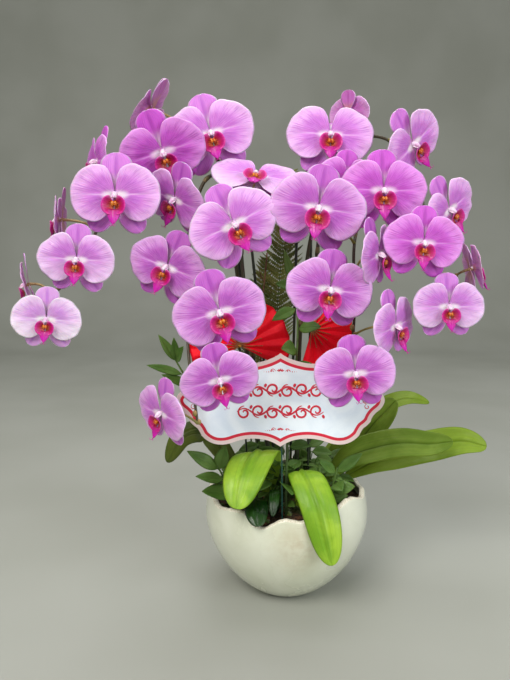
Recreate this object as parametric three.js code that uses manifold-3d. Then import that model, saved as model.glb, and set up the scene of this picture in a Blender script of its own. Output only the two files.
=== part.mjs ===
// Potted moth orchids (Phalaenopsis): four flower spikes with thirty blooms over strap leaves, leafy
// sprays, fern, two pleated paper fans and a scalloped gift card, in a white glazed eggshell pot.
// Units are millimetres, +Z is up, the viewer stands on the -Y side and the origin is the middle of
// the pot's foot, on the surface that it stands on.
import * as THREE from 'three';
import { mergeVertices } from 'three/addons/utils/BufferGeometryUtils.js';
import Module from 'manifold-3d';

const wasm = await Module();
wasm.setup();

// Driving dimensions
const CLEARANCE = 0.35;
const POT = { radius: 99, widestAt: 97, footRadius: 36, roundness: 1.75, wall: 6, floor: 8, rows: 5 };
// The broken eggshell edge of the pot: azimuth in degrees and height of each corner.
const RIM_CORNERS = [
  [-180, 124], [-163, 128], [-148, 120], [-136, 124], [-121, 126], [-116, 115], [-108, 112.5],
  [-100, 120], [-95, 124.5], [-83, 121], [-70, 125], [-57, 127], [-46, 134], [-36, 133], [-22, 125],
  [-8, 128], [9, 120], [22, 129], [38, 122], [52, 131], [66, 126], [80, 134], [97, 125], [112, 131],
  [127, 123], [141, 130], [154, 124], [168, 129],
];
const MIX = { height: 106, mound: 7, sides: 20, slack: 2.6 };
const BLOOM_SPAN = 100;
const HUB_BACK = 4.6;
const STEM = {
  rootRadius: 3.0, tipRadius: 1.5, pedicelRadius: 1.3, steps: 18, sides: 4, firstJoint: 7, slack: 0.6,
};
const LEAF_THICKNESS = 2.4;
const SPRAY = { rootRadius: 2, tipRadius: 1.4, steps: 14, sides: 4, hole: 4.3 };
const CARD = { width: 225, height: 102, thickness: 2.4 };

// Colours and finishes
const finish = (color, roughness, metalness = 0) =>
  new THREE.MeshStandardMaterial({ color, roughness, metalness });
const GLAZE = finish(0xe6e4d2, 0.2);
const MIX_FINISH = finish(0x3a2c1f, 0.95);
const PETAL = finish(0xcd7fd6, 0.55);
const STEM_FINISH = finish(0x3c4a26, 0.6);
const STAKE_FINISH = finish(0x1f2a1c, 0.5);
const TWIG_FINISH = finish(0x6b4a30, 0.8);
const LEAF_FINISH = finish(0x86ad35, 0.4);
const DARK_LEAF = finish(0x274a1c, 0.45);
const FERN = finish(0x5d7a3a, 0.7);
const PAPER = finish(0xd81f22, 0.7);
const CARD_FINISH = finish(0xdfe6ea, 0.6);

// Small helpers
const vector = ([x, y, z]) => new THREE.Vector3(x, y, z);
const curveThrough = (points) => new THREE.CatmullRomCurve3(points.map(vector), false, 'centripetal');
const mix = THREE.MathUtils.lerp;
const radians = THREE.MathUtils.degToRad;
const nearestOf = (points, target) =>
  points.reduce((best, p) => (p.distanceTo(target) < best.distanceTo(target) ? p : best));

/** Turns a closed three.js geometry into a solid whose faces point out. */
function solid(geometry) {
  geometry.deleteAttribute('normal');
  geometry.deleteAttribute('uv');
  const merged = mergeVertices(geometry, 1e-4);
  const faces = [];
  let volume = 0;
  const corner = [0, 1, 2].map(() => new THREE.Vector3());
  for (let i = 0; i < merged.index.count; i += 3) {
    const [a, b, c] = [0, 1, 2].map((k) => merged.index.getX(i + k));
    if (a === b || b === c || c === a) continue;
    [a, b, c].forEach((index, k) => corner[k].fromBufferAttribute(merged.attributes.position, index));
    volume += corner[0].dot(corner[1].clone().cross(corner[2]));
    faces.push([a, b, c]);
  }
  const triVerts = new Uint32Array(faces.flatMap((face) => (volume < 0 ? face.reverse() : face)));
  const vertProperties = new Float32Array(merged.attributes.position.array);
  return new wasm.Manifold(new wasm.Mesh({ numProp: 3, vertProperties, triVerts }));
}

/** Joins solids into one body; a tiny hollow that the joint seals is filled. */
const join = (solids) => solids.reduce((whole, part) => whole.add(part)).decompose()
  .reduce((largest, piece) => (piece.volume() > largest.volume() ? piece : largest));

/** Turns a solid back into a three.js geometry. */
function geometryOf(body) {
  const mesh = body.getMesh();
  const geometry = new THREE.BufferGeometry();
  geometry.setAttribute('position', new THREE.BufferAttribute(mesh.vertProperties, 3));
  geometry.setIndex(new THREE.BufferAttribute(mesh.triVerts, 1));
  return geometry;
}

function geometryFrom(points, faces) {
  const geometry = new THREE.BufferGeometry();
  geometry.setAttribute('position', new THREE.Float32BufferAttribute(points.flatMap((p) => p.toArray()), 3));
  geometry.setIndex(faces.flat());
  return geometry;
}

const object = new THREE.Group();

/** Adds one named piece to the object. */
function place(name, body, material) {
  const mesh = new THREE.Mesh(geometryOf(body), material);
  mesh.name = name;
  object.add(mesh);
  return mesh;
}

/**
 * A thin blade over a grid of points on its middle surface: rows run from root to tip. It is
 * thickest inside the grid and sharp along the rim; rootHalf keeps its root that thick.
 */
function blade(rows, thickness, rootHalf = 0) {
  const last = rows.length - 1;
  const across = rows[0].length - 1;
  const clamp = (value, top) => Math.min(Math.max(value, 0), top);
  const normalAt = (i, j) => {
    const along = rows[clamp(i + 1, last)][j].clone().sub(rows[clamp(i - 1, last)][j]);
    const aside = rows[i][clamp(j + 1, across)].clone().sub(rows[i][clamp(j - 1, across)]);
    const normal = along.cross(aside);
    return normal.lengthSq() > 1e-9 ? normal.normalize() : null;
  };
  const points = [];
  const index = { upper: [], lower: [] };
  rows.forEach((row, i) => {
    index.upper.push([]);
    index.lower.push([]);
    row.forEach((point, j) => {
      const rim = j === 0 || j === across || i === last || (i === 0 && rootHalf === 0);
      const half = i === 0 ? rootHalf : thickness / 2;
      const normal = normalAt(i, j) ?? normalAt(clamp(i + 1, last), Math.floor(across / 2));
      index.upper[i].push(points.length);
      points.push(rim ? point.clone() : point.clone().addScaledVector(normal, half));
      if (rim) {
        index.lower[i].push(points.length - 1);
      } else {
        index.lower[i].push(points.length);
        points.push(point.clone().addScaledVector(normal, -half));
      }
    });
  });
  const faces = [];
  const addQuad = (grid, i, j, turned) => {
    const [a, b, c, d] = [grid[i][j], grid[i][j + 1], grid[i + 1][j], grid[i + 1][j + 1]];
    const leanRight = j < across / 2;
    const halves = leanRight ? [[a, b, d], [a, d, c]] : [[a, b, c], [b, d, c]];
    halves.forEach((face) => faces.push(turned ? face.reverse() : face));
  };
  for (let i = 0; i < last; i += 1) {
    for (let j = 0; j < across; j += 1) {
      addQuad(index.upper, i, j, false);
      addQuad(index.lower, i, j, true);
    }
  }
  for (let j = 0; j < across && rootHalf > 0; j += 1) {
    const [a, b] = [index.upper[0][j], index.upper[0][j + 1]];
    const [c, d] = [index.lower[0][j], index.lower[0][j + 1]];
    faces.push([a, c, b], [b, c, d]);
  }
  return solid(geometryFrom(points, faces));
}

/** A round stem swept along a curve, with a radius that changes evenly from root to tip. */
function taperedStem(curve, steps, sides, rootRadius, tipRadius = rootRadius) {
  const frames = curve.computeFrenetFrames(steps, false);
  const points = [];
  for (let i = 0; i <= steps; i += 1) {
    const centre = curve.getPointAt(i / steps);
    const radius = mix(rootRadius, tipRadius, i / steps);
    for (let k = 0; k < sides; k += 1) {
      const turn = (2 * Math.PI * k) / sides;
      points.push(centre.clone()
        .addScaledVector(frames.normals[i], radius * Math.cos(turn))
        .addScaledVector(frames.binormals[i], radius * Math.sin(turn)));
    }
  }
  const faces = [];
  for (let i = 0; i < steps; i += 1) {
    for (let k = 0; k < sides; k += 1) {
      const next = (k + 1) % sides;
      const [a, b] = [i * sides + k, i * sides + next];
      faces.push([a, b, b + sides], [a, b + sides, a + sides]);
    }
  }
  for (let k = 1; k < sides - 1; k += 1) {
    faces.push([0, k + 1, k]);
    faces.push([steps * sides, steps * sides + k, steps * sides + k + 1]);
  }
  return solid(geometryFrom(points, faces));
}

// Pot
const rimAzimuths = RIM_CORNERS.flatMap(([azimuth, height], i) => {
  const [nextAzimuth, nextHeight] = i + 1 < RIM_CORNERS.length
    ? RIM_CORNERS[i + 1] : [RIM_CORNERS[0][0] + 360, RIM_CORNERS[0][1]];
  const middle = [(azimuth + nextAzimuth) / 2, (height + nextHeight) / 2];
  return nextAzimuth - azimuth > 12 ? [[azimuth, height], middle] : [[azimuth, height]];
});

/** A solid of rings about the Z axis: each column lists [radius, height] from the foot to the middle. */
function solidOfColumns(columns, azimuths) {
  const count = columns[0].length;
  const points = [new THREE.Vector3(0, 0, columns[0][0][1])];
  columns.forEach((column, i) => {
    const angle = radians(azimuths[i]);
    column.forEach(([radius, height]) => {
      points.push(new THREE.Vector3(radius * Math.cos(angle), radius * Math.sin(angle), height));
    });
  });
  const meanHeight = columns.reduce((sum, column) => sum + column[count - 1][1], 0) / columns.length;
  points.push(new THREE.Vector3(0, 0, meanHeight));
  const at = (i, k) => 1 + (i % columns.length) * count + k;
  const faces = [];
  for (let i = 0; i < columns.length; i += 1) {
    faces.push([0, at(i + 1, 0), at(i, 0)]);
    faces.push([points.length - 1, at(i, count - 1), at(i + 1, count - 1)]);
    for (let k = 0; k < count - 1; k += 1) {
      faces.push([at(i, k), at(i + 1, k), at(i + 1, k + 1)], [at(i, k), at(i + 1, k + 1), at(i, k + 1)]);
    }
  }
  return solid(geometryFrom(points, faces));
}

/** Radius of the pot's outside at a height: a blunt egg below its widest ring, a sphere above it. */
function potRadiusAt(height) {
  const { radius, widestAt, footRadius, roundness } = POT;
  if (height > widestAt) return Math.sqrt(radius ** 2 - (height - widestAt) ** 2);
  const depth = widestAt / (1 - (footRadius / radius) ** roundness) ** (1 / roundness);
  return radius * (1 - ((widestAt - height) / depth) ** roundness) ** (1 / roundness);
}

function potShell() {
  const columns = rimAzimuths.map(([, rim]) => {
    const outside = [];
    const inside = [];
    for (let k = 0; k <= POT.rows; k += 1) {
      const height = rim * (k / POT.rows);
      const innerHeight = mix(rim, POT.floor, k / POT.rows);
      outside.push([potRadiusAt(height), height]);
      inside.push([potRadiusAt(innerHeight) - POT.wall, innerHeight]);
    }
    return [...outside, ...inside];
  });
  return solidOfColumns(columns, rimAzimuths.map(([azimuth]) => azimuth));
}
place('pot', potShell(), GLAZE);

// Every stem, stake, stick and leaf root that stands in the potting mix has a plain round hole there.
const HOLE_DEPTH = 60;
const HOLE_SIDES = 5;
const holes = [];
function drillHole(points, radius) {
  const [root, next] = points.map(vector);
  const direction = next.clone().sub(root).normalize();
  const hole = new THREE.CylinderGeometry(radius, radius, HOLE_DEPTH, HOLE_SIDES);
  hole.applyQuaternion(new THREE.Quaternion().setFromUnitVectors(new THREE.Vector3(0, 1, 0), direction));
  const middle = root.clone().addScaledVector(direction, HOLE_DEPTH / 2 - 1.2);
  hole.translate(middle.x, middle.y, middle.z);
  holes.push(solid(hole));
}
const circumscribed = (radius) => (radius + CLEARANCE) / Math.cos(Math.PI / HOLE_SIDES);

// Blooms: built facing -Y at BLOOM_SPAN across the petals, with the column's foot at the origin
const point = (x, y, z) => new THREE.Vector3(x, y, z);
const BLADE_THICKNESS = 1.7;

// Half of the pair of petals: distance from the middle, top, bottom, and how far it stands back
const PETAL_OUTLINE = [[3, 2.5, -3, -1.2], [10, 29, -21, -2.6], [22, 34.5, -30, -3.2], [38, 25, -23, -1.8]];
const PETAL_TIP = [49.5, 1.5, 0.8];

/** The two broad petals as one blade that crosses the hub. */
function petals() {
  const row = (side, [out, top, bottom, back]) =>
    [point(side * out, back + 1.2, bottom), point(side * out, back, 0), point(side * out, back + 1.2, top)];
  const tip = (side) => {
    const [out, height, back] = PETAL_TIP;
    return [0, 1, 2].map(() => point(side * out, back, height));
  };
  const half = (side) => PETAL_OUTLINE.map((shape) => row(side, shape));
  return blade([tip(-1), ...half(-1).reverse(), ...half(1), tip(1)], BLADE_THICKNESS);
}

// The three sepals, clockwise from the top one: angle from straight up, length and width
const SEPALS = [[0, 46, 36], [143, 47, 30], [217, 47, 30]];
const SEPAL_ROOT_BACK = 3;

/** Bends a point of an upright sepal backwards along an arc that turns by that angle over its length. */
function recurved(p, length, turn) {
  if (turn === 0) return p;
  const radius = length / turn - (p.y - SEPAL_ROOT_BACK);
  const angle = (turn * p.z) / length;
  return point(p.x, SEPAL_ROOT_BACK + length / turn - radius * Math.cos(angle), radius * Math.sin(angle));
}

/** The three sepals as one blade behind the petals, joined round the hub; the top one may recurve. */
function sepals(topTurn) {
  const points = [];
  const add = (p) => points.push(p) - 1;
  const hub = [-0.5, 0.5].map((face) => add(point(0, SEPAL_ROOT_BACK + face * BLADE_THICKNESS, 0)));
  const along = (angle, distance, aside, back) => point(
    distance * Math.sin(angle) + aside * Math.cos(angle), back,
    distance * Math.cos(angle) - aside * Math.sin(angle));
  const crotches = SEPALS.map(([degrees], k) => {
    const next = SEPALS[(k + 1) % SEPALS.length][0] + (k + 1 === SEPALS.length ? 360 : 0);
    return add(along(radians((degrees + next) / 2), 5, 0, SEPAL_ROOT_BACK));
  });
  const faces = [];
  SEPALS.forEach(([degrees, length, width], k) => {
    const angle = radians(degrees);
    const bend = (p) => recurved(p, length, k === 0 ? topTurn : 0);
    const rim = (share, side, back) => add(bend(along(angle, share * length, side * width, back)));
    const ridge = (share, back) => [-0.5, 0.5].map(
      (face) => add(bend(along(angle, share * length, 0, back + face * BLADE_THICKNESS))));
    const ridges = [ridge(0.42, 4.6), ridge(0.78, 5.6)];
    const left = [rim(0.4, -0.4, 5.4), rim(0.76, -0.46, 6.6)];
    const right = [rim(0.4, 0.4, 5.4), rim(0.76, 0.46, 6.6)];
    const tip = rim(1, 0, 8);
    const start = crotches[(k + SEPALS.length - 1) % SEPALS.length];
    [0, 1].forEach((side) => {
      const [centre, middle, far] = [hub[side], ridges[0][side], ridges[1][side]];
      const half = (root, edge) => [
        [centre, root, edge[0]], [centre, edge[0], middle], [middle, edge[0], edge[1]],
        [middle, edge[1], far], [far, edge[1], tip],
      ];
      const turned = half(crotches[k], right).map((face) => face.reverse());
      [...half(start, left), ...turned].forEach((face) => faces.push(side ? face.reverse() : face));
    });
  });
  return solid(geometryFrom(points, faces));
}

// The lip from its claw to its tip: half width, forward and height of the edges, the same of the keel
const LIP_ROWS = [
  [1.2, 6.4, -0.6, 6.4, -1.2], [13, 14, -6, 8, -11], [5, 10, -19, 11, -20], [8, 12.5, -26, 14, -26],
  [0, 16, -36, 16, -36],
];
const LIP_THICKNESS = 2.2;

/** The lip: side lobes that stand forward beside the column, and a pointed mid-lobe below them. */
const lip = () => blade(LIP_ROWS.map(([half, forward, height, keelForward, keelHeight]) => [
  point(-half, -forward, height), point(0, -keelForward, keelHeight), point(half, -forward, height),
]), LIP_THICKNESS);

const COLUMN = { length: 10, rootRadius: 1.9, tipRadius: 2.9, sides: 5 };

/** The column, from the sepals to its blunt end over the lip. */
function column() {
  const axis = new THREE.LineCurve3(point(0, SEPAL_ROOT_BACK, 0), point(0, -COLUMN.length, 0));
  return taperedStem(axis, 1, COLUMN.sides, COLUMN.rootRadius, COLUMN.tipRadius);
}

const bloomBody = (topTurn) => join([petals(), sepals(topTurn), column(), lip()]);
const BLOOM_BODIES = { open: bloomBody(0), recurved: bloomBody(radians(100)) };

/** How a bloom is turned, from the pose that it is built in. */
const bloomTurn = ({ yaw, pitch, roll }) =>
  new THREE.Euler(radians(-pitch), radians(roll), radians(yaw), 'ZXY');

function placeBloom(name, bloom) {
  const scale = bloom.span / BLOOM_SPAN;
  const mesh = place(name, BLOOM_BODIES[bloom.form ?? 'open'].scale([scale, scale, scale]), PETAL);
  mesh.position.set(...bloom.at);
  mesh.rotation.copy(bloomTurn(bloom));
}

/** A pedicel from the nearest part of its spike to just behind the bloom's hub. */
function pedicel(spikeCurve, bloom) {
  const behind = new THREE.Vector3(0, 1, 0).applyEuler(bloomTurn(bloom));
  const end = vector(bloom.at).addScaledVector(behind, HUB_BACK * (bloom.span / BLOOM_SPAN) + CLEARANCE);
  const aim = end.clone().addScaledVector(behind, 12);
  const start = nearestOf(spikeCurve.getSpacedPoints(STEM.steps).slice(STEM.firstJoint), aim);
  const reach = start.distanceTo(end);
  const lift = start.clone().lerp(end, 0.3).add(new THREE.Vector3(0, 0, 0.12 * reach));
  const approach = end.clone().addScaledVector(behind, 0.4 * reach);
  return taperedStem(new THREE.CubicBezierCurve3(start, lift, approach, end), 3, 3, STEM.pedicelRadius);
}

// Spikes: the route of each stem from its root in the mix, and its blooms. A bloom turns by yaw to
// the viewer's right, by pitch to face up and by roll to lean its top sepal to the right. The top
// sepal of a recurved one bends back.
const SPIKES = {
  outer_left: {
    route: [
      [-22, 14, 62], [-28, 15, 120], [-50, 22, 300], [-62, 20, 400], [-74, 14, 490], [-96, 6, 541],
      [-140, -4, 553], [-182, -14, 526], [-201, -26, 485], [-214, -42, 430], [-240, -58, 382],
      [-256, -62, 366],
    ],
    blooms: [
      { at: [-88, -12, 542], span: 101, yaw: 4, pitch: 2, roll: -14 },
      { at: [-158, 14, 576], span: 86, yaw: -97, pitch: 30, roll: 40 },
      { at: [-139, -37, 519], span: 96, yaw: 12, pitch: -22, roll: -20 },
      { at: [-218, -4, 512], span: 90, yaw: -62, pitch: 4, roll: 4 },
      { at: [-185, -66, 470], span: 97, yaw: 0, pitch: 0, roll: 1 },
      { at: [-253, -38, 446], span: 76, yaw: -82, pitch: 0, roll: 0 },
      { at: [-223, -84, 403], span: 81, yaw: 0, pitch: 0, roll: 3 },
      { at: [-285, -60, 376], span: 72, yaw: -70, pitch: -12, roll: 0 },
      { at: [-254, -94, 342], span: 73, yaw: 4, pitch: 0, roll: 4 },
    ],
  },
  inner_left: {
    route: [
      [-10, -8, 62], [-14, -8, 120], [-40, -2, 280], [-54, 8, 400], [-58, 14, 466], [-70, 10, 498],
      [-92, -12, 494], [-108, -32, 450], [-114, -42, 400], [-113, -58, 345], [-108, -84, 292],
      [-102, -92, 252], [-99, -96, 232],
    ],
    blooms: [
      { at: [-38, -38, 491], span: 98, yaw: 8, pitch: 50, roll: 14, form: 'recurved' },
      { at: [-124, -50, 467], span: 86, yaw: -38, pitch: -14, roll: 22 },
      { at: [-60, -94, 438], span: 95, yaw: 10, pitch: 0, roll: -27 },
      { at: [-132, -66, 395], span: 88, yaw: -16, pitch: 0, roll: 20 },
      { at: [-74, -112, 351], span: 96, yaw: 4, pitch: 0, roll: -15 },
      { at: [-73, -136, 287], span: 79, yaw: 8, pitch: -6, roll: -13 },
      { at: [-134, -112, 247], span: 80, yaw: -45, pitch: -4, roll: 6 },
    ],
  },
  inner_right: {
    route: [
      [10, 2, 62], [12, 4, 120], [17, 10, 330], [28, 12, 430], [44, 12, 482], [64, 4, 486],
      [76, -12, 448], [70, -44, 408], [69, -64, 350], [67, -72, 322],
    ],
    blooms: [
      { at: [61, -38, 487], span: 74, yaw: 6, pitch: -4, roll: 4 },
      { at: [26, -84, 455], span: 100, yaw: 2, pitch: 0, roll: 10 },
      { at: [97, -60, 475], span: 95, yaw: 2, pitch: 0, roll: 1 },
      { at: [88, -86, 408], span: 85, yaw: 56, pitch: 0, roll: -14 },
      { at: [37, -104, 373], span: 90, yaw: 4, pitch: 0, roll: 8 },
      { at: [105, -98, 335], span: 84, yaw: 48, pitch: 0, roll: -10 },
      { at: [61, -126, 291], span: 84, yaw: 2, pitch: 2, roll: -4 },
    ],
  },
  outer_right: {
    route: [
      [24, 14, 62], [27, 15, 120], [34, 24, 330], [40, 26, 440], [58, 28, 512], [88, 30, 545],
      [120, 28, 542], [146, 16, 506], [156, -10, 455], [158, -34, 415], [160, -50, 388],
      [178, -56, 384],
    ],
    blooms: [
      { at: [46, -8, 541], span: 99, yaw: 0, pitch: 10, roll: 2, form: 'recurved' },
      { at: [75, 50, 577], span: 58, yaw: 142, pitch: 0, roll: 0 },
      { at: [139, -8, 531], span: 92, yaw: 38, pitch: -6, roll: -40 },
      { at: [133, -92, 420], span: 83, yaw: 2, pitch: 0, roll: 5 },
      { at: [176, -32, 457], span: 86, yaw: 38, pitch: -4, roll: -30 },
      { at: [196, -58, 393], span: 78, yaw: 84, pitch: 13, roll: 0 },
      { at: [161, -94, 355], span: 76, yaw: 2, pitch: 0, roll: -2 },
    ],
  },
};

for (const [name, { route, blooms }] of Object.entries(SPIKES)) {
  const curve = curveThrough(route);
  const stem = taperedStem(curve, STEM.steps, STEM.sides, STEM.rootRadius, STEM.tipRadius);
  place(`${name}_spike`, join([stem, ...blooms.map((bloom) => pedicel(curve, bloom))]), STEM_FINISH);
  drillHole(route, circumscribed(STEM.rootRadius + STEM.slack));
  blooms.forEach((bloom, i) => placeBloom(`${name}_bloom_${i + 1}`, bloom));
}

// Stakes: straight canes that the spikes lean on
const STAKE_RADIUS = 1.7;
const STAKES = {
  outer_left_stake: [[-26, 27, 62], [-62, 33, 440]],
  inner_left_stake: [[-4, 4, 62], [-44, 12, 430]],
  inner_right_stake: [[4, 16, 62], [12, 26, 440]],
  outer_right_stake: [[30, 28, 62], [30, 38, 452]],
};
for (const [name, route] of Object.entries(STAKES)) {
  place(name, taperedStem(new THREE.LineCurve3(...route.map(vector)), 1, 6, STAKE_RADIUS), STAKE_FINISH);
  drillHole(route, circumscribed(STAKE_RADIUS));
}

// Strap leaves: a spine from the root in the mix to the tip, the widest width, and the direction
// that the blade's right edge points to. The shape lists shares of the length and of the width.
const LEAF_SHAPE = [
  [0, 0], [0.2, 0], [0.34, 0.66], [0.5, 0.94], [0.66, 1], [0.82, 0.96], [0.95, 0.66], [1, 0],
];
const LEAF_FOLD = 0.18;
const LEAF_ROOT = { halfWidth: 3.4, halfThickness: 1.5, hole: 6.8 };

/** A strap leaf with its two halves folded up along the midrib. */
function strapLeaf({ spine, width, right }) {
  const curve = curveThrough(spine);
  const rows = LEAF_SHAPE.map(([share, fullness]) => {
    const centre = curve.getPointAt(share);
    const along = curve.getTangentAt(share);
    const aside = vector(right).addScaledVector(along, -vector(right).dot(along)).normalize();
    const up = aside.clone().cross(along).normalize();
    const half = fullness === 0 && share < 1 ? LEAF_ROOT.halfWidth : (fullness * width) / 2;
    return [-1, -0.5, 0, 0.5, 1].map((step) => centre.clone()
      .addScaledVector(aside, step * half)
      .addScaledVector(up, LEAF_FOLD * half * step ** 2));
  });
  return blade(rows, LEAF_THICKNESS, LEAF_ROOT.halfThickness);
}

const LEAVES = {
  front_left_leaf: {
    spine: [
      [-22, -22, 80], [-23, -24, 122], [-29, -34, 176],
      [-38, -54, 186], [-50, -82, 172], [-59, -104, 140],
    ],
    width: 48, right: [1, 0.1, 0.1],
  },
  front_right_leaf: {
    spine: [
      [12, -28, 80], [12, -31, 120], [13, -44, 158],
      [17, -64, 165], [30, -94, 140], [44, -112, 80],
    ],
    width: 40, right: [1, 0, 0.1],
  },
  right_upper_leaf: {
    spine: [
      [34, -8, 80], [39, -9, 118], [72, -16, 166], [104, -18, 180],
      [136, -22, 187], [168, -26, 187], [194, -28, 191],
    ],
    width: 36, right: [0, -0.6, -0.8],
  },
  right_long_leaf: {
    spine: [
      [52, 16, 80], [62, 16, 116], [104, 14, 149], [141, 12, 163],
      [177, 10, 172], [216, 8, 180], [247, 6, 174],
    ],
    width: 41, right: [0, -0.6, -0.8],
  },
  right_broad_leaf: {
    spine: [
      [42, 36, 80], [46, 36, 118], [66, 34, 148], [95, 30, 174],
      [109, 28, 194], [125, 26, 213], [138, 24, 228],
    ],
    width: 46, right: [0.5, -0.7, -0.5],
  },
  right_back_leaf: {
    spine: [
      [30, 56, 80], [34, 58, 118], [84, 66, 172], [112, 66, 194],
      [138, 64, 213], [162, 60, 221], [188, 54, 217],
    ],
    width: 34, right: [0, -0.9, -0.4],
  },
  notch_leaf: {
    spine: [[-37, -44, 94], [-38, -46, 118], [-38, -64, 134], [-37, -86, 132], [-35, -101, 119]],
    width: 27, right: [1, 0, 0],
  },
  middle_leaf: {
    spine: [[-13, -38, 80], [-14, -41, 114], [-16, -56, 142], [-17, -70, 138], [-19, -82, 122]],
    width: 13, right: [1, 0, 0],
  },
  left_olive_leaf: {
    spine: [
      [-50, -4, 80], [-54, -5, 116], [-74, -8, 168],
      [-100, -12, 198], [-124, -18, 194], [-143, -22, 163],
    ],
    width: 27, right: [0.85, 0, -0.5],
  },
};
const SHADED_LEAVES = ['notch_leaf', 'middle_leaf'];
for (const [name, leaf] of Object.entries(LEAVES)) {
  place(name, strapLeaf(leaf), SHADED_LEAVES.includes(name) ? DARK_LEAF : LEAF_FINISH);
  drillHole(leaf.spine, LEAF_ROOT.hole);
}

// Leafy sprays: a stem and oval leaves, each given by its base on the stem, its tip and its width.
// The leaf's shape lists shares of its length and of its width.
const OVAL_SHAPE = [[0, 0.06], [0.4, 0.95], [0.75, 0.8], [1, 0]];
const OVAL = { thickness: 1.6, arch: 0.12, fold: 0.16 };
const SPRAY_FACING = new THREE.Vector3(0, -0.8, 0.6);

/** An oval leaf that arches along its length, with its edges folded up. */
function ovalLeaf(base, tip, width) {
  const along = tip.clone().sub(base);
  const aside = along.clone().cross(SPRAY_FACING).normalize();
  const up = aside.clone().cross(along).normalize();
  const rows = OVAL_SHAPE.map(([share, fullness]) => [-0.5, 0, 0.5].map((step) => base.clone()
    .addScaledVector(along, share)
    .addScaledVector(aside, step * fullness * width)
    .addScaledVector(up, (OVAL.arch * Math.sin(Math.PI * share) + OVAL.fold * Math.abs(step)) * width)));
  return blade(rows, OVAL.thickness);
}

const SPRAYS = {
  left_tall_spray: {
    stem: [[-58, 20, 70], [-60, 20, 114], [-90, 4, 200], [-118, -18, 262], [-137, -28, 300]],
    leaves: [
      [[-133, -26, 290], [-149, -31, 318], 11], [[-133, -26, 290], [-130, -40, 316], 10],
      [[-128, -23, 279], [-119, -42, 306], 12], [[-123, -20, 268], [-163, -34, 283], 11],
      [[-118, -18, 257], [-146, -34, 272], 12], [[-112, -14, 246], [-96, -14, 264], 13],
      [[-105, -9, 228], [-128, -26, 236], 12], [[-98, -4, 208], [-80, -2, 232], 13],
    ],
  },
  left_low_spray: {
    stem: [[-58, -28, 70], [-60, -29, 112], [-72, -38, 144], [-82, -46, 168]],
    leaves: [
      [[-82, -46, 167], [-116, -54, 188], 16], [[-79, -44, 160], [-72, -52, 194], 18],
      [[-74, -41, 150], [-106, -60, 160], 14], [[-66, -36, 130], [-99, -62, 143], 20],
      [[-70, -38, 140], [-62, -46, 170], 13],
    ],
  },
  centre_spray: {
    stem: [[-3, -57, 70], [-3, -57, 112], [-1, -56, 220], [8, -52, 300], [8, -42, 350], [0, -34, 394]],
    leaves: [
      [[2, -34, 386], [-6, -34, 414], 10], [[6, -38, 362], [-16, -42, 376], 14],
      [[8, -42, 340], [-20, -54, 336], 15], [[10, -46, 318], [34, -60, 330], 17],
      [[10, -49, 302], [-10, -62, 306], 20], [[8, -50, 280], [24, -62, 290], 14],
      [[7, -50, 256], [-12, -62, 270], 14],
    ],
  },
  right_low_spray: {
    stem: [[43, -40, 70], [44, -41, 112], [50, -46, 138], [56, -48, 166]],
    leaves: [
      [[56, -48, 165], [84, -50, 184], 14], [[54, -47, 156], [34, -54, 176], 13],
      [[52, -46, 148], [60, -68, 146], 18], [[50, -46, 138], [76, -54, 146], 18],
      [[47, -43, 122], [70, -42, 130], 14], [[48, -44, 130], [36, -62, 136], 12],
    ],
  },
};
for (const [name, { stem, leaves }] of Object.entries(SPRAYS)) {
  const curve = curveThrough(stem);
  const joints = curve.getSpacedPoints(SPRAY.steps).slice(0, -1);
  const blades = leaves.map(
    ([base, tip, width]) => ovalLeaf(nearestOf(joints, vector(base)), vector(tip), width));
  const stalk = taperedStem(curve, SPRAY.steps, SPRAY.sides, SPRAY.rootRadius, SPRAY.tipRadius);
  place(name, join([stalk, ...blades]), DARK_LEAF);
  drillHole(stem, SPRAY.hole);
}

// Fern fronds: flat feathery blades cut nearly to the rib, on slim stems
const FERNS = {
  tall_fern: {
    stem: [[-6, 34, 70], [-6, 36, 112], [-12, 46, 300], [-4, 44, 420], [6, 38, 508]],
    leaflets: 22, from: 0.5, length: 26,
  },
  short_fern: {
    stem: [[-40, 34, 70], [-40, 36, 112], [-46, 50, 260], [-32, 52, 350], [-26, 48, 404]],
    leaflets: 17, from: 0.48, length: 25,
  },
};
const FROND = { ribHalf: 1.1, thickness: 2.2, lean: 0.5 };
const STALK = { radius: 1.5, tipRadius: 1.3, steps: 6, sides: 4, reach: 0.02, slack: 0.2 };

/** A frond: leaflets in pairs that lean towards the tip, longest low down. */
function frond({ stem, leaflets, from, length }) {
  const curve = curveThrough(stem);
  const aside = point(1, 0, 0);
  const rows = [];
  for (let k = 0; k <= 2 * leaflets; k += 1) {
    const share = mix(from, 1, k / (2 * leaflets));
    const rib = curve.getPointAt(share);
    const leafletLength = length * Math.sin(Math.PI * mix(0.3, 0.92, k / (2 * leaflets)));
    const reach = k % 2 ? leafletLength : FROND.ribHalf;
    const tip = (side) => rib.clone().addScaledVector(aside, side * reach)
      .addScaledVector(curve.getTangentAt(share), k % 2 ? FROND.lean * reach : 0);
    rows.push([tip(-1), rib, tip(1)]);
  }
  const stalkPoints = Array.from(
    { length: STALK.steps + 1 }, (_, k) => curve.getPointAt((k / STALK.steps) * (from + STALK.reach)));
  const stalkCurve = new THREE.CatmullRomCurve3(stalkPoints);
  const stalk = taperedStem(stalkCurve, STALK.steps, STALK.sides, STALK.radius, STALK.tipRadius);
  return blade(rows, FROND.thickness).add(stalk);
}
for (const [name, fern] of Object.entries(FERNS)) {
  place(name, frond(fern), FERN);
  drillHole(fern.stem, circumscribed(STALK.radius + STALK.slack));
}

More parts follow.
